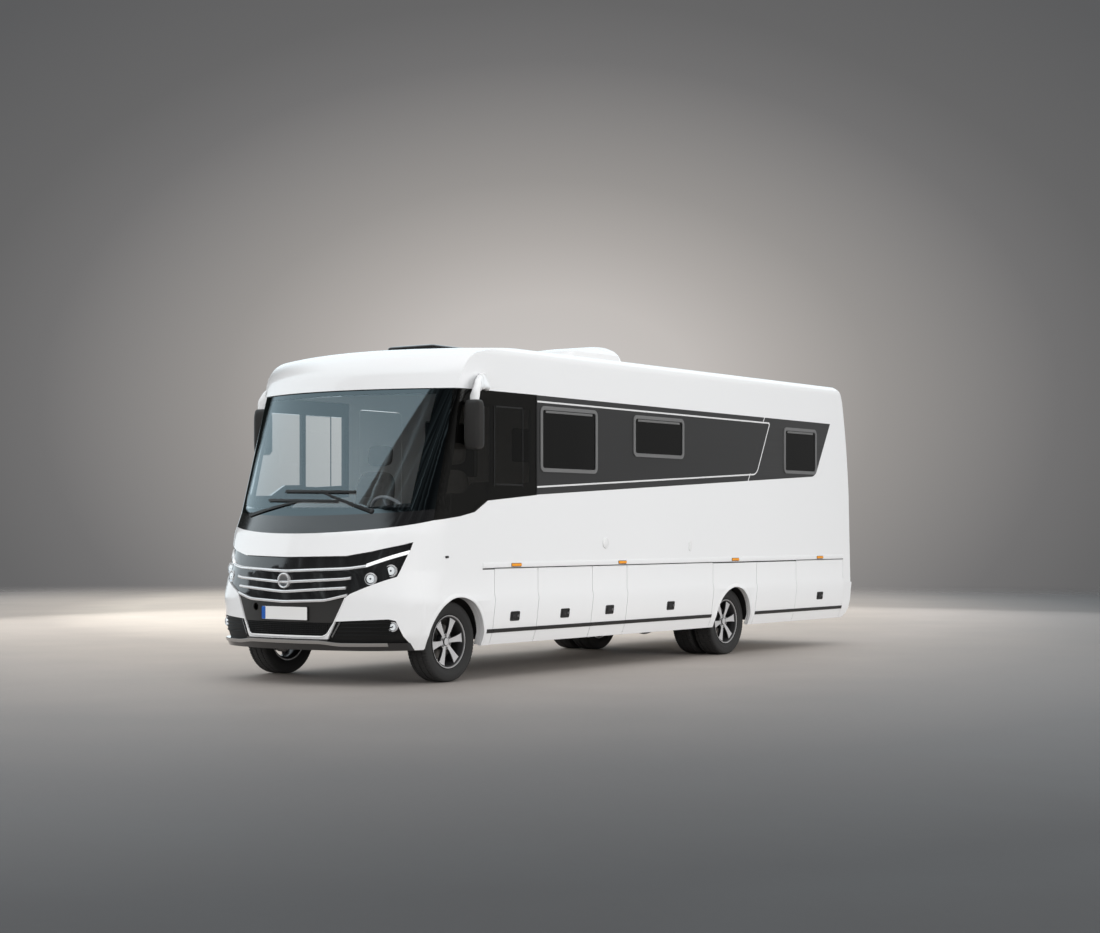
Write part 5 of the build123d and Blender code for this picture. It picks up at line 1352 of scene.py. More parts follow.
    def marker_lamps(self) -> None:
        """Amber side markers on black feet."""
        shell = Shell("side_markers", "vehicle")
        foot = ((0.0, 0.004), (0.0, 0.0062), (0.001, 0.007))
        lens = ((0.004, 0.0065), (0.005, 0.012), (0.008, 0.0145), (0.012, 0.0152))
        for side in Side:
            for start, end in self.markers:
                centre = ((start + end) / 2, 1.004)
                shell.skin(FLANK.pad(side, centre, (end - start, 0.034), 0.008, foot), TRIM_BLACK)
                shell.skin(FLANK.pad(side, centre, (end - start, 0.034), 0.009, lens), AMBER)
        shell.build()

    def caps(self) -> None:
        """White filler cap and oval vent on the left wall, and a small dark sensor near the front."""
        shell = Shell("wall_caps", "vehicle", "body_white")
        dome = (
            (0.0, 0.0), (0.0, 0.050), (0.006, 0.050), (0.009, 0.046), (0.0095, 0.040),
            (0.0075, 0.038), (0.0105, 0.030), (0.012, 0.014), (0.012, 0.0),
        )
        shell.lathe(dome, (HALF_WIDTH, along(2.270), 1.190), (1, 0, 0), 64, SOFT_WHITE)
        vent = ((0.0, 0.0), (0.0, 0.005), (0.003, 0.0075), (0.010, 0.0075), (0.012, 0.006), (0.020, 0.008))
        shell.skin(FLANK.pad(Side.LEFT, (3.820, 1.151), (0.050, 0.100), 0.024, vent), SOFT_WHITE)
        sensor = ((0.0, 0.0), (0.0, 0.003), (0.003, 0.005))
        for side in Side:
            shell.skin(FLANK.pad(side, (-0.175, 1.085), (0.046, 0.020), 0.008, sensor), TRIM_BLACK)
        shell.build()

    def arches(self) -> None:
        """Rolled lip of each wheel arch, and the white return that runs inward from its edge."""
        shell = Shell("arch_lips", "vehicle", "body_white")
        for side in Side:
            for centre, radius, depth in self.openings:
                band = ((0.001, -0.036), (0.001, -depth), (-0.002, -depth), (-0.002, -0.036))
                for section in (self.lip, band):
                    shell.skin(self.arch(side, centre, radius, np.array(section)), WHITE)
        shell.build()

    def arch(self, side: Side, centre: float, radius: float, section: Array) -> Array:
        """Section of (outward, proud) points carried round an arch."""
        foot = math.asin((self.arch_foot - AXLE_HEIGHT) / radius)
        angle = np.linspace(foot, math.pi - foot, 72)[:, None]
        reach = radius + section[None, :, 0]
        place = centre + reach * np.cos(angle)
        up = AXLE_HEIGHT + reach * np.sin(angle)
        skin = FLANK.place(side, place, up, section[None, :, 1])
        return self.on_front(side, skin, place, up, section) if centre == 0.0 else skin

    def on_front(self, side: Side, skin: Array, place: Array, up: Array, section: Array) -> Array:
        """Where the arch meets the curved front, takes the distance across from the front's plan instead."""
        across = np.linspace(0.60, 1.152, 160)
        rows = FRONT.place(across[:, None], up.ravel()[None, :], 0.0)
        reach = rows[:, :, 1] - along(0.0)
        flat = place.ravel()
        found = np.array([np.interp(flat[k], reach[:, k], rows[:, k, 0]) for k in range(flat.size)])
        limit = np.abs(skin[..., 0]) - section[None, :, 1]
        curved = np.minimum(limit, found.reshape(place.shape)) + section[None, :, 1]
        skin[..., 0] = side.value * curved
        return skin


# ---------------------------------------------------------------- front end
@dataclass
class FrontEnd:
    """Grille bars, plain roundel, meshes, lamps, plate and bumper accents."""

    bars: tuple = (
        ((0.0, 0.966), (0.623, 0.992), (0.759, 1.014)),
        ((0.0, 0.872), (0.604, 0.904), (0.645, 0.912)),
        ((0.0, 0.791), (0.607, 0.829)),
        ((0.0, 0.706), (0.431, 0.722), (0.622, 0.768)),
    )
    roundel_up: float = 0.885
    roundel_radius: float = 0.066
    lamps: tuple = ((0.797, 0.905, 0.052), (0.921, 0.972, 0.052), (0.951, 0.503, 0.042))
    lamp_axis: tuple = (0.35, -1.0, 0.05)
    lamp_proud: float = -0.016
    plate_corner: float = 0.255
    plate_up: float = 0.607
    plate_gap: float = 0.014
    sunk: float = 0.015
    mesh_top: float = 0.530
    slat_ups: tuple = (0.430, 0.462, 0.494, 0.526)
    bar_shape: tuple = (
        (-0.011, -0.012), (-0.012, -0.002), (-0.009, 0.002), (-0.003, 0.0045),
        (0.004, 0.0045), (0.009, 0.001), (0.012, -0.005), (0.0115, -0.012),
    )
    white_line: tuple = ((0.0, 0.409), (0.431, 0.412), (0.450, 0.424), (0.512, 0.533), (0.610, 0.742))
    lip_highlight_line: tuple = ((0.0, 0.368), (0.440, 0.368), (0.520, 0.350), (0.930, 0.352))
    wedge_line: tuple = ((0.490, 0.415), (0.560, 0.536))

    @staticmethod
    def mirrored(line: tuple) -> tuple:
        """A line given for one side, carried across the centre line."""
        other = tuple((-x, z) for x, z in reversed(line) if x > 0)
        return (*other, *line)

    def build(self) -> None:
        """Makes the front's pieces in order from the grille down to the lip."""
        self.grille()
        self.roundel()
        self.meshes()
        self.headlamps()
        self.plate()
        self.accents()

    def grille(self) -> None:
        """Chrome bars: a section with a flat upper face and a rounded nose, carried across the front."""
        shell = Shell("chrome_bars", "vehicle", "chrome")
        for line in self.bars:
            shell.skin(FRONT.bar(resampled(self.mirrored(line), 81), np.array(self.bar_shape)), CHROME)
        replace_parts(shell.build(), "grille_bars")

    def roundel(self) -> None:
        """Plain badge place: a chrome ring round a blank dished disc."""
        centre = FRONT.place(0.0, self.roundel_up)
        origin = (0.0, float(centre[1]) + 0.004, self.roundel_up)
        ahead = (0, -1, 0)
        shell = Shell("grille_roundel", "vehicle", "chrome")
        r = self.roundel_radius
        ring = (
            (-0.010, r - 0.014), (-0.010, r), (0.010, r), (0.016, r - 0.003),
            (0.018, r - 0.008), (0.015, r - 0.013), (0.008, r - 0.014),
        )
        shell.lathe(ring, origin, ahead, 72, CHROME)
        disc = ((-0.008, 0.0), (-0.008, r - 0.013), (0.007, r - 0.013), (0.005, r - 0.024), (0.004, 0.0))
        shell.lathe(disc, origin, ahead, 72, SATIN)
        shell.build()

    def meshes(self) -> None:
        """Lower mesh and side slats in front of their backs, as thin bars on the curved front."""
        shell = Shell("bumper_mesh", "vehicle", "black_plastic")
        rib = bar_section(0.005, 0.009, 0.002) - [0.0, self.sunk]
        for up in np.linspace(0.440, 0.520, 6):
            reach = float(np.interp(up, [0.422, 0.533], [0.425, 0.495]))
            path = resampled(((-reach, up), (reach, up)), 41, smooth=False)
            shell.skin(FRONT.bar(path, rib), SLAT_BLACK)
        post = np.array([(-0.0022, -0.015), (-0.0022, -0.007), (0.0022, -0.007), (0.0022, -0.015)])
        for across in np.linspace(-0.46, 0.46, 47):
            low = float(np.interp(abs(across), [0.431, 0.504], [0.424, 0.533]))
            if self.mesh_top - low >= 0.02:
                ups = np.linspace(low, self.mesh_top, 4)[:, None]
                shell.skin(FRONT.place(across + post[None, :, 0], ups, post[None, :, 1]), SLAT_BLACK)
        slat = bar_section(0.010, 0.010, 0.004) - [0.0, self.sunk]
        for side in Side:
            for up in self.slat_ups:
                inner = float(np.interp(up, [0.395, 0.545], [0.475, 0.545]))
                outer = float(np.interp(up, [0.395, 0.560], [0.985, 0.935]))
                ends = ((side.value * inner, up), (side.value * outer, up + 0.004))
                shell.skin(FRONT.bar(resampled(ends, 25, smooth=False), slat), SLAT_BLACK)
        shell.build()

    def headlamps(self) -> None:
        """Projector lamps: bezel, reflector bowl and domed lens about an axis that points forward."""
        shell = Shell("lamp_units", "vehicle", "lamp_clear")
        lens = Shell("lamp_lenses", "vehicle", "lamp_clear")
        for side in Side:
            axis = np.multiply(self.lamp_axis, (side.value, 1.0, 1.0))
            for across, up, r in self.lamps:
                origin = FRONT.place(side.value * across, up, self.lamp_proud)
                bezel = ((-0.012, r - 0.006), (-0.012, r), (0.010, r), (0.013, r - 0.003), (0.012, r - 0.006))
                shell.lathe(bezel, origin, axis, 48, CHROME)
                bowl = (
                    (-0.010, 0.0), (-0.010, r - 0.006), (0.009, r - 0.006), (0.002, r - 0.014),
                    (0.000, r * 0.45), (0.006, r * 0.40), (0.011, r * 0.2), (0.012, 0.0),
                )
                shell.lathe(bowl, origin, axis, 48, REFLECTOR)
                dome = (
                    (0.0115, 0.0), (0.0115, r - 0.005), (0.0135, r - 0.006), (0.016, r * 0.6), (0.017, 0.0),
                )
                lens.lathe(dome, origin, axis, 48, CLEAR_LENS)
                bulb = (
                    (0.0095, 0.0), (0.0095, r * 0.62), (0.0105, r * 0.66), (0.0110, r * 0.60), (0.0112, 0.0),
                )
                lens.lathe(bulb, origin, axis, 40, LAMP_WHITE)
        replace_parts(shell.build(), "round_lamps")
        lens.build()

    def plate(self) -> None:
        """Blank plate with a blue end in a thin black holder."""
        shell = Shell("front_plate", "vehicle")
        front = float(FRONT.place(self.plate_corner, self.plate_up)[1]) - self.plate_gap
        slabs = (
            (TRIM_BLACK, (0.532, 0.122), 0.010, 0.0, ((0.0, 0.024), (0.0, 0.011), (0.001, 0.010))),
            (PLATE_WHITE, (0.520, 0.110), 0.008, 0.0, ((0.0, 0.010), (0.0, 0.0095), (0.001, 0.0085))),
            (PLATE_BLUE, (0.044, 0.108), 0.006, -0.237, ((0.0, 0.0088), (0.0, 0.0082), (0.0005, 0.0080))),
        )
        for finish, size, radius, across, steps in slabs:
            shell.skin(stack(size, radius, (across, front, self.plate_up), steps, upright=True), finish)
        shell.build()

    def accents(self) -> None:
        """White band round the lower mesh, a silver line along the lip as a painted highlight, and silver
        wedges by the side slats.
        """
        shell = Shell("bumper_accents", "vehicle")
        band = bar_section(0.012, 0.012, 0.004) - [0.0, 0.006]
        shell.skin(FRONT.bar(resampled(self.mirrored(self.white_line), 121), band), WHITE)
        # painted highlight: a bright strip along the lip's top
        silver = bar_section(0.030, 0.006, 0.002) + [0.0, 0.025]
        shell.skin(FRONT.bar(resampled(self.mirrored(self.lip_highlight_line), 101), silver), PAINTED_LIP_HIGHLIGHT)
        wedge = bar_section(0.018, 0.012, 0.004) - [0.0, 0.014]
        for side in Side:
            path = resampled(np.multiply(self.wedge_line, (side.value, 1.0)), 16, smooth=False)
            shell.skin(FRONT.bar(path, wedge), SATIN)
        shell.build()


# ---------------------------------------------------------------- glazing trim, mirrors and wipers
@dataclass
class WindowUnits:
    """Rails and seals of the living windows and the trim of the cab glass."""

    left: tuple = ((1.194, 2.124, 1.845, 2.445), (2.753, 3.694, 2.028, 2.433), (5.791, 6.551, 1.933, 2.438))
    right: tuple = ((2.300, 3.230, 1.845, 2.445), (3.800, 4.740, 2.028, 2.433), (5.791, 6.551, 1.933, 2.438))
    rail_in: float = 0.085
    rail_down: float = 0.050
    seal_in: float = 0.036
    cab_rails: tuple = ((0.520, 0.930, 1.718), (0.520, 0.930, 2.405))
    cab_posts: tuple = ((0.500, (1.70, 2.41)), (0.925, (1.70, 2.41)), (1.141, (1.642, 2.538)))

    def build(self) -> None:
        """Hinge rail at the top of each window and a seal round each pane."""
        rails = Shell("window_rails", "vehicle", "gunmetal")
        section = bar_section(0.022, 0.007, 0.003) - [0.0, 0.001]
        for side, table in ((Side.LEFT, self.left), (Side.RIGHT, self.right)):
            for start, end, low, high in table:
                span = (start + self.rail_in, end - self.rail_in)
                rails.skin(FLANK.rail(side, *span, high - self.rail_down, section), FRAME_GREY)
                self.seal(rails, side, start, end, low, high)
        rails.build()
        self.cab_trim()

    def seal(self, shell: Shell, side: Side, start: float, end: float, low: float, high: float) -> None:
        """Black seal just inside the frame: a small bead carried round a rounded rectangle."""
        outline = rounded_outline(end - start - 2 * self.seal_in, high - low - 2 * self.seal_in, 0.028)
        bead = np.array([(-0.003, -0.002), (-0.003, 0.003), (0.014, 0.003), (0.014, -0.002)])
        reach = np.linalg.norm(outline, axis=1)[:, None]
        grown = outline[:, None, :] * (1.0 + bead[None, :, 0, None] / reach[..., None])
        place = (start + end) / 2 + grown[..., 0]
        up = (low + high) / 2 + grown[..., 1]
        shell.skin(FLANK.place(side, place, up, bead[None, :, 1]), TRIM_BLACK, ring=True)

    def cab_trim(self) -> None:
        """Frame of the sliding cab window and the posts beside it, proud of the glass."""
        shell = Shell("cab_window_trim", "vehicle", "gloss_black")
        bead = bar_section(0.014, 0.003, 0.001)
        upright = np.array([(-0.006, 0.0), (0.006, 0.0), (0.006, 0.003), (-0.006, 0.003)])
        for side in Side:
            for rail in self.cab_rails:
                shell.skin(FLANK.rail(side, *rail, bead), TRIM_BLACK)
            for place, ends in self.cab_posts:
                grid = FLANK.place(side, place + upright[:, 0], np.array(ends)[:, None], upright[:, 1])
                shell.skin(grid, TRIM_BLACK)
        shell.build()


@dataclass
class Mirror:
    """One outside mirror: rounded housing, glass behind it, and a swan-neck arm from the roof."""

    side: Side
    centre: tuple[float, float, float] = (1.235, -3.132, 2.225)
    size: tuple[float, float, float] = (0.170, 0.107, 0.430)
    arm: tuple = (
        (1.128, -2.840, 2.612), (1.160, -2.905, 2.612), (1.196, -2.990, 2.598),
        (1.222, -3.070, 2.560), (1.234, -3.118, 2.495), (1.235, -3.130, 2.410),
    )

    def build(self) -> None:
        """Housing as stacked superellipses, glass as thin slabs, and the arm as a swept oval that tapers."""
        s = self.side.value
        cx, cy, cz = self.centre
        width, depth, height = self.size
        shell = Shell(f"mirror_{self.side.label}", "vehicle")
        turn = np.linspace(-math.pi / 2, math.pi / 2, 25)[:, None]
        spread = np.abs(np.cos(turn)) ** 0.30
        ring = oval(1.0, 1.0, 4.5, 40)
        x = s * (cx + width * ring[None, :, 0] * spread)
        y = cy + depth * ring[None, :, 1] * spread
        z = cz + height / 2 * signed_power(np.sin(turn), 0.42) + 0 * y
        shell.skin(np.stack([x, y, z], axis=-1), CHARCOAL)
        self.glass(shell, 0.045, 0.235)
        self.glass(shell, -0.145, 0.090)
        path = resampled(self.arm, 32) * (s, 1.0, 1.0)
        size = np.interp(np.linspace(0.0, 1.0, 32), (0.0, 0.35, 0.75, 1.0), (1.25, 1.02, 0.95, 0.80))
        section = oval(0.130, 0.066, 2.8, 28)[None] * size[:, None, None]
        shell.skin(tube(path, section, up=(0.35 * s, 0.9, 0.25)), WHITE)
        shell.build(sharp=50.0)

    def glass(self, shell: Shell, lift: float, height: float) -> None:
        """Mirror glass on the housing's rear face."""
        cx, cy, cz = self.centre
        centre = (cx, cy + self.size[1] / 2, cz + lift)
        steps = ((0.0, -0.005), (0.0, -0.001), (0.003, 0.0002))
        pane = stack((self.size[0] - 0.034, height), 0.016, centre, steps, upright=True)
        shell.skin(pane * (self.side.value, 1.0, 1.0), MIRROR_GLASS)


@dataclass
class Wipers:
    """Two wipers resting near the windshield's foot."""

    strokes: tuple = (
        (((-0.234, 1.655), (0.519, 1.640)), (0.688, 1.477), (0.180, 1.648)),
        (((-0.442, 1.579), (0.386, 1.563)), (-0.685, 1.448), (0.000, 1.571)),
    )

    def build(self) -> None:
        """Rubber and carrier of each blade, tapering arm, and pivot cap."""
        shell = Shell("wiper_set", "vehicle", "black_plastic")
        for blade, pivot, hold in self.strokes:
            line = resampled(blade, 33, smooth=False)
            shell.skin(FRONT.bar(line, bar_section(0.010, 0.010, 0.002)), WIPER_BLACK)
            shell.skin(FRONT.bar(line, bar_section(0.024, 0.006, 0.003) + [0.0, 0.009]), WIPER_BLACK)
            arm = resampled((pivot, hold), 25, smooth=False)
            section = bar_section(0.016, 0.006, 0.002)
            swell = np.linspace(1.9, 0.9, len(arm))[:, None]
            lift = 0.008 + 0.007 * np.sin(np.linspace(0.15, 1.0, len(arm)) * math.pi / 2)[:, None]
            side = arm[-1] - arm[0]
            normal = np.array([-side[1], side[0]]) / np.linalg.norm(side)
            across = arm[:, None, 0] + section[None, :, 0] * swell * normal[0]
            up = arm[:, None, 1] + section[None, :, 0] * swell * normal[1]
            shell.skin(FRONT.place(across, up, section[None, :, 1] * swell + lift - 0.008), WIPER_BLACK)
            cap = ((-0.006, 0.0), (-0.006, 0.024), (0.010, 0.023), (0.014, 0.018), (0.015, 0.0))
            shell.lathe(cap, FRONT.place(*pivot), (0.0, -0.85, 0.45), 32, BLACK_PLASTIC)
        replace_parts(shell.build(), "wipers")


# ---------------------------------------------------------------- cab furniture
@dataclass
class CabSeats:
    """Two padded cab seats on pedestals; weight, the softness meant for each pad, is not used."""

    across: float = 0.430
    voxel: float = 0.012
    pressure: float = 4.0
    frames: int = 20
    cap: float = 0.014
    weight: float = 0.75
    channel_every: float = 0.10
    channel_half: float = 0.006
    channel_reach: float = 0.17
    stands: tuple = ((0.822, 0.078, 0.36), (0.900, 0.142, 0.30))
    stand_y: float = -2.955
    parts: tuple = (
        ("cushion", (0.0, -2.835, 1.107), (0.475, 0.500, 0.125), 0.0),
        ("back", (0.0, -2.500, 1.510), (0.470, 0.110, 0.740), 0.17),
        ("headrest", (0.0, -2.400, 2.010), (0.280, 0.085, 0.195), 0.17),
    )

    def block(self, size: tuple, power: float = 4.0) -> Array:
        """Rounded block: rings of superellipses whose spread follows a superellipse in height."""
        turn = np.linspace(-math.pi / 2, math.pi / 2, 21)
        lift = signed_power(np.sin(turn), 2 / power)
        spread = np.abs(np.cos(turn)) ** (2 / power)
        flat = oval(size[0], size[1], power, 48)[None] * spread[:, None, None]
        up = np.broadcast_to((size[2] / 2 * lift)[:, None, None], (*flat.shape[:2], 1))
        return np.concatenate([flat, up], axis=-1)

    def build(self) -> None:
        """Makes each pad once, then its twin on the other seat, and the hard pedestals."""
        self.pedestals()
        for name, centre, size, lean in self.parts:
            left = self.pad(name, centre, size, lean)
            for side in Side:
                piece = left if side is Side.LEFT else self.twin(left, f"seat_{name}_right")
                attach(piece, "vehicle")
                LOG.info("%s on vehicle: %d faces", piece.name, len(piece.data.polygons))

    def pedestals(self) -> None:
        """Two stacked rounded boxes under each seat."""
        shell = Shell("seat_pedestals", "vehicle", "dash_plastic")
        for side in Side:
            for low, tall, size in self.stands:
                steps = ((0.0, 0.0), (0.0, 0.004), (0.01, tall - 0.01), (0.02, tall))
                centre = (side.value * self.across, self.stand_y, low)
                shell.skin(stack((size, size), 0.04, centre, steps), DASH)
        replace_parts(shell.build(), "cab_seats")

    def pad(self, name: str, centre: tuple, size: tuple, lean: float) -> bpy.types.Object:
        """One pad for the left seat: a block that is remeshed, swelled and finished."""
        points = self.block(size)
        mesh = bpy.data.meshes.new(f"seat_{name}_left")
        mesh.from_pydata(points.reshape(-1, 3).tolist(), [], quads(*points.shape[:2]).tolist())
        cleaned(mesh, 1e-5)
        piece = linked(mesh.name, mesh)
        self.applied(piece, "REMESH", {"mode": "VOXEL", "voxel_size": self.voxel})
        self.swell(piece)
        self.finish_pad(piece, centre, lean)
        return piece

    def applied(self, piece: bpy.types.Object, kind: str, settings: dict) -> None:
        """Adds a modifier with its settings and bakes it into the mesh."""
        modifier = piece.modifiers.new(kind.lower(), kind)
        for name, value in settings.items():
            setattr(modifier, name, value)
        graph = bpy.context.evaluated_depsgraph_get()
        baked = bpy.data.meshes.new_from_object(piece.evaluated_get(graph))
        piece.modifiers.clear()
        piece.data = baked
        baked.name = piece.name

    def swell(self, piece: bpy.types.Object) -> None:
        """Cloth pressure with gravity off; no point may move more than the cap."""
        before = read_points(piece.data)
        cloth = piece.modifiers.new("cloth", "CLOTH")
        cloth.settings.use_pressure = True
        cloth.settings.uniform_pressure_force = self.pressure
        cloth.settings.effector_weights.gravity = 0.0
        scene = bpy.context.scene
        for number in range(1, self.frames + 1):
            scene.frame_set(number)
        graph = bpy.context.evaluated_depsgraph_get()
        baked = bpy.data.meshes.new_from_object(piece.evaluated_get(graph))
        move = read_points(baked) - before
        reach = np.linalg.norm(move, axis=1, keepdims=True)
        write_points(baked, before + move * np.minimum(1.0, self.cap / np.maximum(reach, 1e-9)))
        piece.modifiers.clear()
        piece.data = baked
        scene.frame_set(1)

    def finish_pad(self, piece: bpy.types.Object, centre: tuple, lean: float) -> None:
        """Presses sewn channels, leans the pad, and puts it in its place."""
        co = read_points(piece.data)
        upright = lean > 0
        run = co[:, 2] if upright else co[:, 1]
        thick = 1 if upright else 2
        half = np.abs(co[:, thick]).max()
        middle = self.channel_every / 2
        away = (np.mod(run + middle, self.channel_every) - middle) / self.channel_half
        channel = np.exp(-away ** 2) * (np.abs(co[:, 0]) < self.channel_reach)
        on_face = np.abs(co[:, thick]) > 0.6 * half
        co[:, thick] -= np.sign(co[:, thick]) * self.channel_half * channel * on_face
        c, s = math.cos(lean), math.sin(lean)
        y = co[:, 1] * c + co[:, 2] * s
        z = -co[:, 1] * s + co[:, 2] * c
        placed = np.stack([co[:, 0] + self.across + centre[0], y + centre[1], z + centre[2]], axis=1)
        write_points(piece.data, placed)
        smoothed(piece.data)
        piece.data.materials.clear()
        piece.data.materials.append(CLOTH.material())
        soft = piece.modifiers.new("round", "SUBSURF")
        soft.levels = 1
        soft.render_levels = 1

    def twin(self, left: bpy.types.Object, name: str) -> bpy.types.Object:
        """Copy of a pad moved across to the other seat."""
        piece = left.copy()
        piece.name = name
        piece.data = left.data.copy()
        write_points(piece.data, read_points(piece.data) - (2 * self.across, 0.0, 0.0))
        bpy.context.scene.collection.objects.link(piece)
        return piece


# ---------------------------------------------------------------- roof gear
@dataclass
class RoofGear:
    """Rounded cover of the roof air conditioner, and the smoked domes of the two roof lights."""

    start: float = 2.750
    end: float = 3.920
    half: float = 0.330
    height: float = 0.250
    rises: tuple = (0.0, 0.090, 0.167, 0.215, 0.250)
    front_in: tuple = (0.0, 0.050, 0.150, 0.450, 0.770)
    rear_in: tuple = (0.0, 0.012, 0.040, 0.070, 0.130)
    side_in: tuple = (0.0, 0.012, 0.040, 0.080, 0.150)
    lights: tuple = (("skylight_front", 0.740, 1.400, 0.260), ("skylight_rear", 5.300, 5.760, 0.230))
    lid_up: float = 0.0403
    lid: tuple = (
        (0.0, 0.004), (0.0, 0.0), (0.012, 0.0), (0.020, 0.006),
        (0.028, 0.030), (0.034, 0.075), (0.037, 0.130), (0.038, 0.190),
    )

    def build(self) -> None:
        """Makes the cover and the domes."""
        self.cover()
        for name, start, end, half in self.lights:
            self.dome(name, start, end, half)

    def cover(self) -> None:
        """Stacked rounded outlines whose front slopes back as they rise; the top is level."""
        shell = Shell("roof_air_conditioner", "vehicle", "body_white")
        ups = np.concatenate([[0.0], self.height * np.sin(np.linspace(0.0, 1.0, 26) * math.pi / 2)])
        rings = []
        for index, up in enumerate(ups):
            edge = 0.002 if index > 1 else 0.0
            tables = (self.front_in, self.rear_in, self.side_in)
            ahead, back, aside = (float(np.interp(up, self.rises, table)) + edge for table in tables)
            start, end = self.start + ahead, self.end - back
            size = (2 * (self.half - aside), end - start)
            centre = (0.0, along((start + end) / 2), ROOF_HEIGHT + up)
            rings.append(layer(size, 0.14 - 0.2 * (up / self.height) * 0.25, centre, steps=10))
        shell.skin(np.stack(rings), SOFT_WHITE)
        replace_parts(shell.build(sharp=50.0), "air_conditioner")

    def dome(self, name: str, start: float, end: float, half: float) -> None:
        """Roof light lid: skirt, shoulder and a low crown as rounded layers, with its two hinge barrels."""
        shell = Shell(f"{name}_dome", name, "gloss_black")
        low = ROOF_HEIGHT + self.lid_up
        rings = []
        for up, shrink in self.lid:
            size = (2 * (half + 0.020 - shrink), end - start + 0.040 - 2 * shrink)
            centre = (0.0, along((start + end) / 2), low + up)
            rings.append(layer(size, max(0.045 - 0.1 * shrink, 0.02), centre, steps=8))
        shell.skin(np.stack(rings), SMOKED)
        axis_y = along(end + 0.030)
        barrel = ((-0.030, 0.0043), (-0.030, 0.0080), (0.030, 0.0080), (0.030, 0.0043))
        strap = np.array([(-0.030, 0.0065), (0.030, 0.0065), (0.030, -0.0065), (-0.030, -0.0065)])
        for across in (-0.150, 0.150):
            shell.lathe(barrel, (across, axis_y, low + 0.020), (1, 0, 0), 24, BLACK_PLASTIC)
            back = np.array([0.006, 0.018, 0.040])[:, None]
            rise = np.array([0.020, 0.012, 0.010])[:, None]
            web = (across + strap[:, 0], axis_y - back, low + rise + 0.55 * strap[:, 1])
            shell.skin(np.stack(np.broadcast_arrays(*web), axis=-1), BLACK_PLASTIC)
        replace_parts(shell.build(), name)


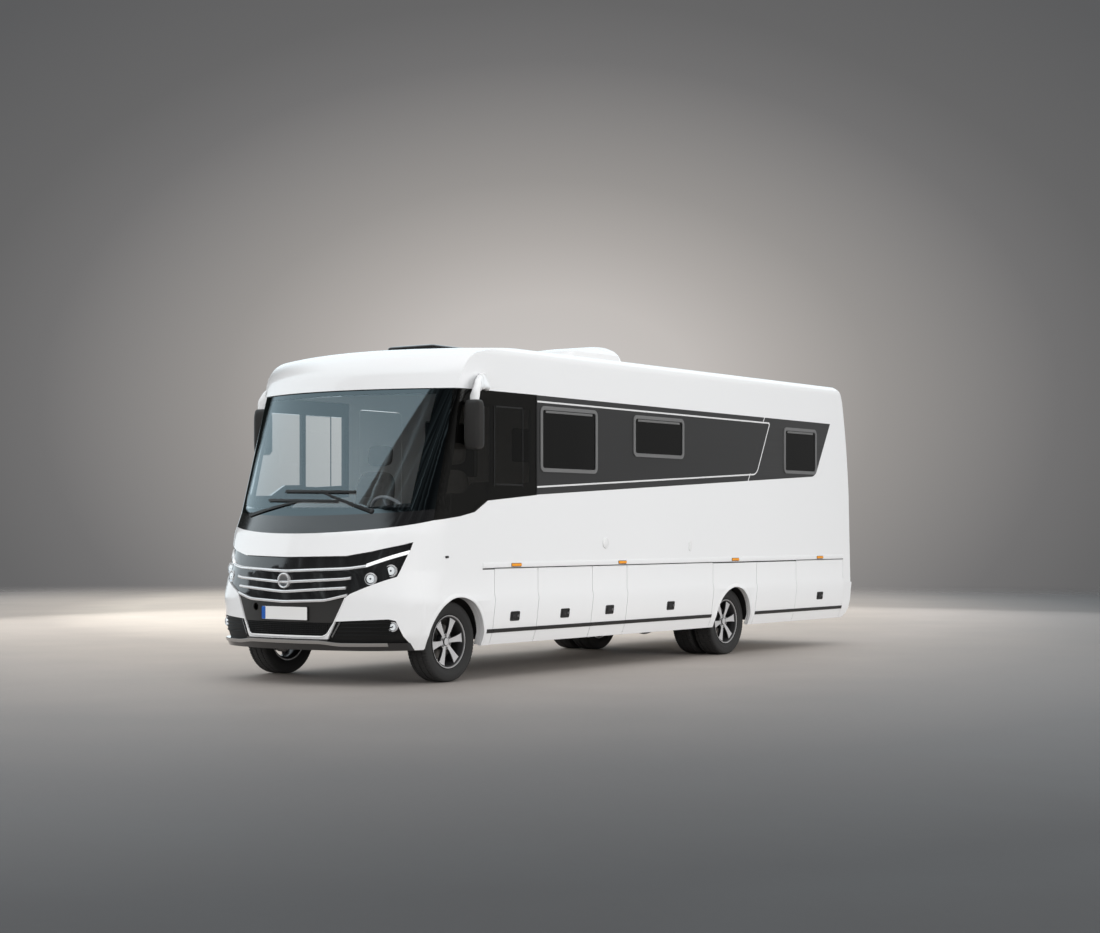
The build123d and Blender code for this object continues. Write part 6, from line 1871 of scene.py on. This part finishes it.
# ---------------------------------------------------------------- studio and camera
@dataclass
class Studio:
    """Floor with a painted light patch, soft light, surroundings and the camera."""

    camera_at: tuple = (11.8063, -17.0115, 1.3284)
    azimuth: float = 35.1505
    lens: float = 66.245
    shift: float = 0.05638
    floor_rings: tuple = (0.01, 4.0, 10.0, 20.0, 31.0)
    floor_sides: int = 128
    floor_gain: float = 0.90
    fade_end: float = 1.1
    # painted light patch on the floor: how far ahead, its depth, its offset across the view and its width
    painted_light_patch: tuple = (17.0, 30.0, -2.2, 12.9)
    melt: tuple = (21.6, 6.0)
    painted_light_floor_tones: tuple = (
        (0.0, (0.84, 0.755, 0.66)), (0.40, (0.83, 0.745, 0.65)), (0.50, (0.56, 0.50, 0.445)),
        (0.575, (0.50, 0.45, 0.405)), (0.65, (0.44, 0.40, 0.37)), (0.79, (0.232, 0.220, 0.212)),
        (0.90, (0.128, 0.125, 0.125)), (0.97, (0.090, 0.089, 0.090)), (1.02, (0.068, 0.067, 0.069)),
    )
    wall_tones: tuple = (
        (0.0, (0.600, 0.574, 0.555)), (0.189, (0.540, 0.510, 0.488)), (0.302, (0.418, 0.394, 0.376)),
        (0.415, (0.310, 0.295, 0.284)), (0.528, (0.238, 0.230, 0.225)), (0.641, (0.168, 0.165, 0.165)),
        (0.754, (0.134, 0.133, 0.134)), (1.0, (0.106, 0.107, 0.110)),
    )
    soft_tones: tuple = (
        (0.0, (0.55, 0.55, 0.54)), (0.45, (0.80, 0.80, 0.80)),
        (0.6, (0.86, 0.865, 0.87)), (1.0, (0.96, 0.97, 0.98)),
    )
    glow_up: float = 0.0635
    glow_flat: float = 1.5
    glow_reach: float = 0.2619
    sky_edge: tuple = (-0.153, 0.654, 0.741)
    sky: Rgb = (1.02, 1.15, 1.22)
    sky_above: Rgb = (0.95, 0.97, 1.0)
    hall: Rgb = (0.020, 0.021, 0.023)
    beam: Rgb = (1.5, 1.65, 1.7)
    corner: Rgb = (0.020, 0.022, 0.020)
    yard_tones: tuple = ((0.0, (0.16, 0.16, 0.16)), (0.5, (0.26, 0.26, 0.255)), (1.0, (0.80, 0.80, 0.80)))
    boxes: tuple = (
        ("top_box", (1.5, -1.5, 8.5), (0.0, 0.0, 1.2), (9.0, 12.0), 70.0),
        ("left_box", (12.0, 1.2, 3.2), (0.0, 1.0, 1.4), (16.0, 4.0), 740.0),
        ("front_box", (0.5, -14.0, 3.2), (0.0, -3.0, 1.4), (10.0, 4.0), 330.0),
        ("right_box", (-12.0, 0.0, 3.2), (0.0, 0.0, 1.4), (14.0, 4.0), 330.0),
        ("rear_box", (0.0, 14.0, 3.2), (0.0, 3.0, 1.4), (10.0, 4.0), 220.0),
    )

    def build(self) -> None:
        """Camera first, then floor, world and lamps."""
        scene = bpy.context.scene
        scene.view_settings.view_transform = "Standard"
        data = bpy.data.cameras.new("view")
        data.lens = self.lens
        data.sensor_fit = "HORIZONTAL"
        data.sensor_width = 36.0
        data.shift_y = self.shift
        data.clip_end = 400.0
        camera = linked("view", data)
        camera.location = self.camera_at
        camera.rotation_euler = (math.radians(90), 0.0, math.radians(self.azimuth))
        scene.camera = camera
        self.floor()
        self.surroundings()
        for box in self.boxes:
            self.box(*box)

    def along_view(self, x: Shade, y: Shade) -> tuple[Shade, Shade]:
        """Level distance ahead in the direction the camera faces, and to its right."""
        heading = math.radians(self.azimuth)
        c, s = math.cos(heading), math.sin(heading)
        return x * -s + y * c, x * c + y * s

    def floor(self) -> None:
        """Round floor whose tone fades outward from a pale patch of painted light behind the vehicle and
        melts away far off.
        """
        radii = np.array(self.floor_rings)[:, None]
        angle = np.linspace(0, 2 * math.pi, self.floor_sides, endpoint=False)
        grid = np.stack(np.broadcast_arrays(radii * np.cos(angle), radii * np.sin(angle), 0.0), axis=-1)
        mesh = bpy.data.meshes.new("floor")
        faces = quads(*grid.shape[:2]).tolist()
        faces.append(list(range(self.floor_sides - 1, -1, -1)))
        mesh.from_pydata(grid.reshape(-1, 3).tolist(), [], faces)
        floor = linked("floor", mesh)
        material = bpy.data.materials.new("studio_floor")
        material.use_nodes = True
        graph = Graph(material.node_tree)
        x, y, _ = graph.axes()
        far, aside = self.along_view(x, y)
        pool_far, pool_depth, pool_left, pool_width = self.painted_light_patch
        deep = (pool_far - far) / pool_depth
        wide = (aside - pool_left) / pool_width
        fade = (deep * deep + wide * wide) ** 0.5
        # painted light: floor colour from the pale patch outward to the dark far floor
        stops = [
            (place / self.fade_end, tuple(self.floor_gain * c for c in colour))
            for place, colour in self.painted_light_floor_tones
        ]
        tone = graph.ramp(stops, fade / self.fade_end)
        patina = graph.noise(0.9, 5.0)
        fine = graph.noise(14.0, 4.0)
        mottle = graph.blend(patina * 0.8 + fine * 0.2, (0.82, 0.82, 0.82), (1.16, 1.16, 1.16))
        ground = graph.surface(
            Base_Color=graph.product(tone, mottle), Roughness=0.62 + 0.2 * patina, Specular_IOR_Level=0.2
        )
        beyond = graph.add("ShaderNodeBsdfTransparent")
        graph.result(graph.add("ShaderNodeMixShader", {}, {0: far.rises(*self.melt), 1: ground, 2: beyond}))
        floor.data.materials.append(material)

    def surroundings(self) -> None:
        """World: soft light for surfaces, a varied hall for gloss, and a grey wall for the view."""
        world = bpy.data.worlds.new("studio")
        bpy.context.scene.world = world
        world.use_nodes = True
        graph = Graph(world.node_tree)
        direction = graph.add("ShaderNodeTexCoord", output="Generated")
        x, y, up = graph.axes(direction)
        soft = graph.ramp(self.soft_tones, up * 0.5 + 0.5)
        paths = graph.add("ShaderNodeLightPath")
        outputs = paths.socket.node.outputs
        light = graph.blend(Shade(graph, outputs["Is Glossy Ray"]), soft, self.gloss(graph, x, y, up))
        colour = graph.blend(Shade(graph, outputs["Is Camera Ray"]), light, self.wall(graph, x, y, up))
        shown = graph.add("ShaderNodeBackground", inputs={"Color": colour, "Strength": 1.0})
        graph.add("ShaderNodeOutputWorld", inputs={"Surface": shown})

    def wall(self, graph: Graph, x: Shade, y: Shade, up: Shade) -> Shade:
        """Grey wall: tone by the flattened distance, on the picture plane, from a glow above the horizon."""
        ahead, right = self.along_view(x, y)
        facing = ahead.most(0.05)
        level = right / facing / self.glow_flat
        rise = up / facing - self.glow_up
        reach = (level * level + rise * rise) ** 0.5
        return graph.ramp(self.wall_tones, reach / self.glow_reach)

    def gloss(self, graph: Graph, x: Shade, y: Shade, up: Shade) -> Shade:
        """What gloss mirrors: pale sky left of a leaning edge, a dark hall ahead, a grey yard behind."""
        lean = x * self.sky_edge[0] + y * self.sky_edge[1] + up * self.sky_edge[2]
        corner = (y + up * 1.2).rises(0.508, 0.016) * (1.0 - x.rises(-0.80, 0.08))
        sky = lean.rises(0.0, 0.003) * (1.0 - x.rises(0.14, 0.10))
        overhead = up.rises(0.86, 0.07)
        hall = graph.blend(y.rises(0.15, 0.35), self.hall, graph.ramp(self.yard_tones, up))
        streaks = graph.noise(6.0, 3.0, stretch=(5.0, 1.0, 0.6), at=graph.vector(x + up * 0.45, y, up))
        beams = (streaks ** 9.0) * 9.0
        lit = graph.blend(beams.least(0.8) * (1.0 - y.rises(-0.3, 0.2)), hall, self.beam)
        open_sky = graph.blend(overhead, graph.blend(sky, lit, self.sky), self.sky_above)
        return graph.blend(corner, open_sky, self.corner)

    def box(self, name: str, at: tuple, to: tuple, size: tuple, power: float) -> None:
        """One large rectangular soft box aimed at a point."""
        data = bpy.data.lights.new(name, "AREA")
        data.shape = "RECTANGLE"
        data.size, data.size_y = size
        data.energy = power
        lamp = linked(name, data)
        aim = np.array(to) - at
        lamp.location = at
        flat = math.hypot(aim[0], aim[1])
        lamp.rotation_euler = (math.atan2(flat, -aim[2]), 0.0, math.atan2(aim[1], aim[0]) - math.pi / 2)
        lamp.visible_glossy = False


def main() -> None:
    """Builds the studio and every sub-assembly in order, then dresses the frame's own nodes."""
    logging.basicConfig(level=logging.INFO, format="%(name)s: %(message)s")
    Studio().build()
    for side in Side:
        for front in (True, False):
            Wheel(side, front).build()
        Mirror(side).build()
    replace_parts(bpy.data.objects["mirror_left"], "mirrors")
    FlankTrim().build()
    FrontEnd().build()
    WindowUnits().build()
    Wipers().build()
    CabSeats().build()
    RoofGear().build()
    Dressing().dress()


if __name__ == "__main__":
    main()
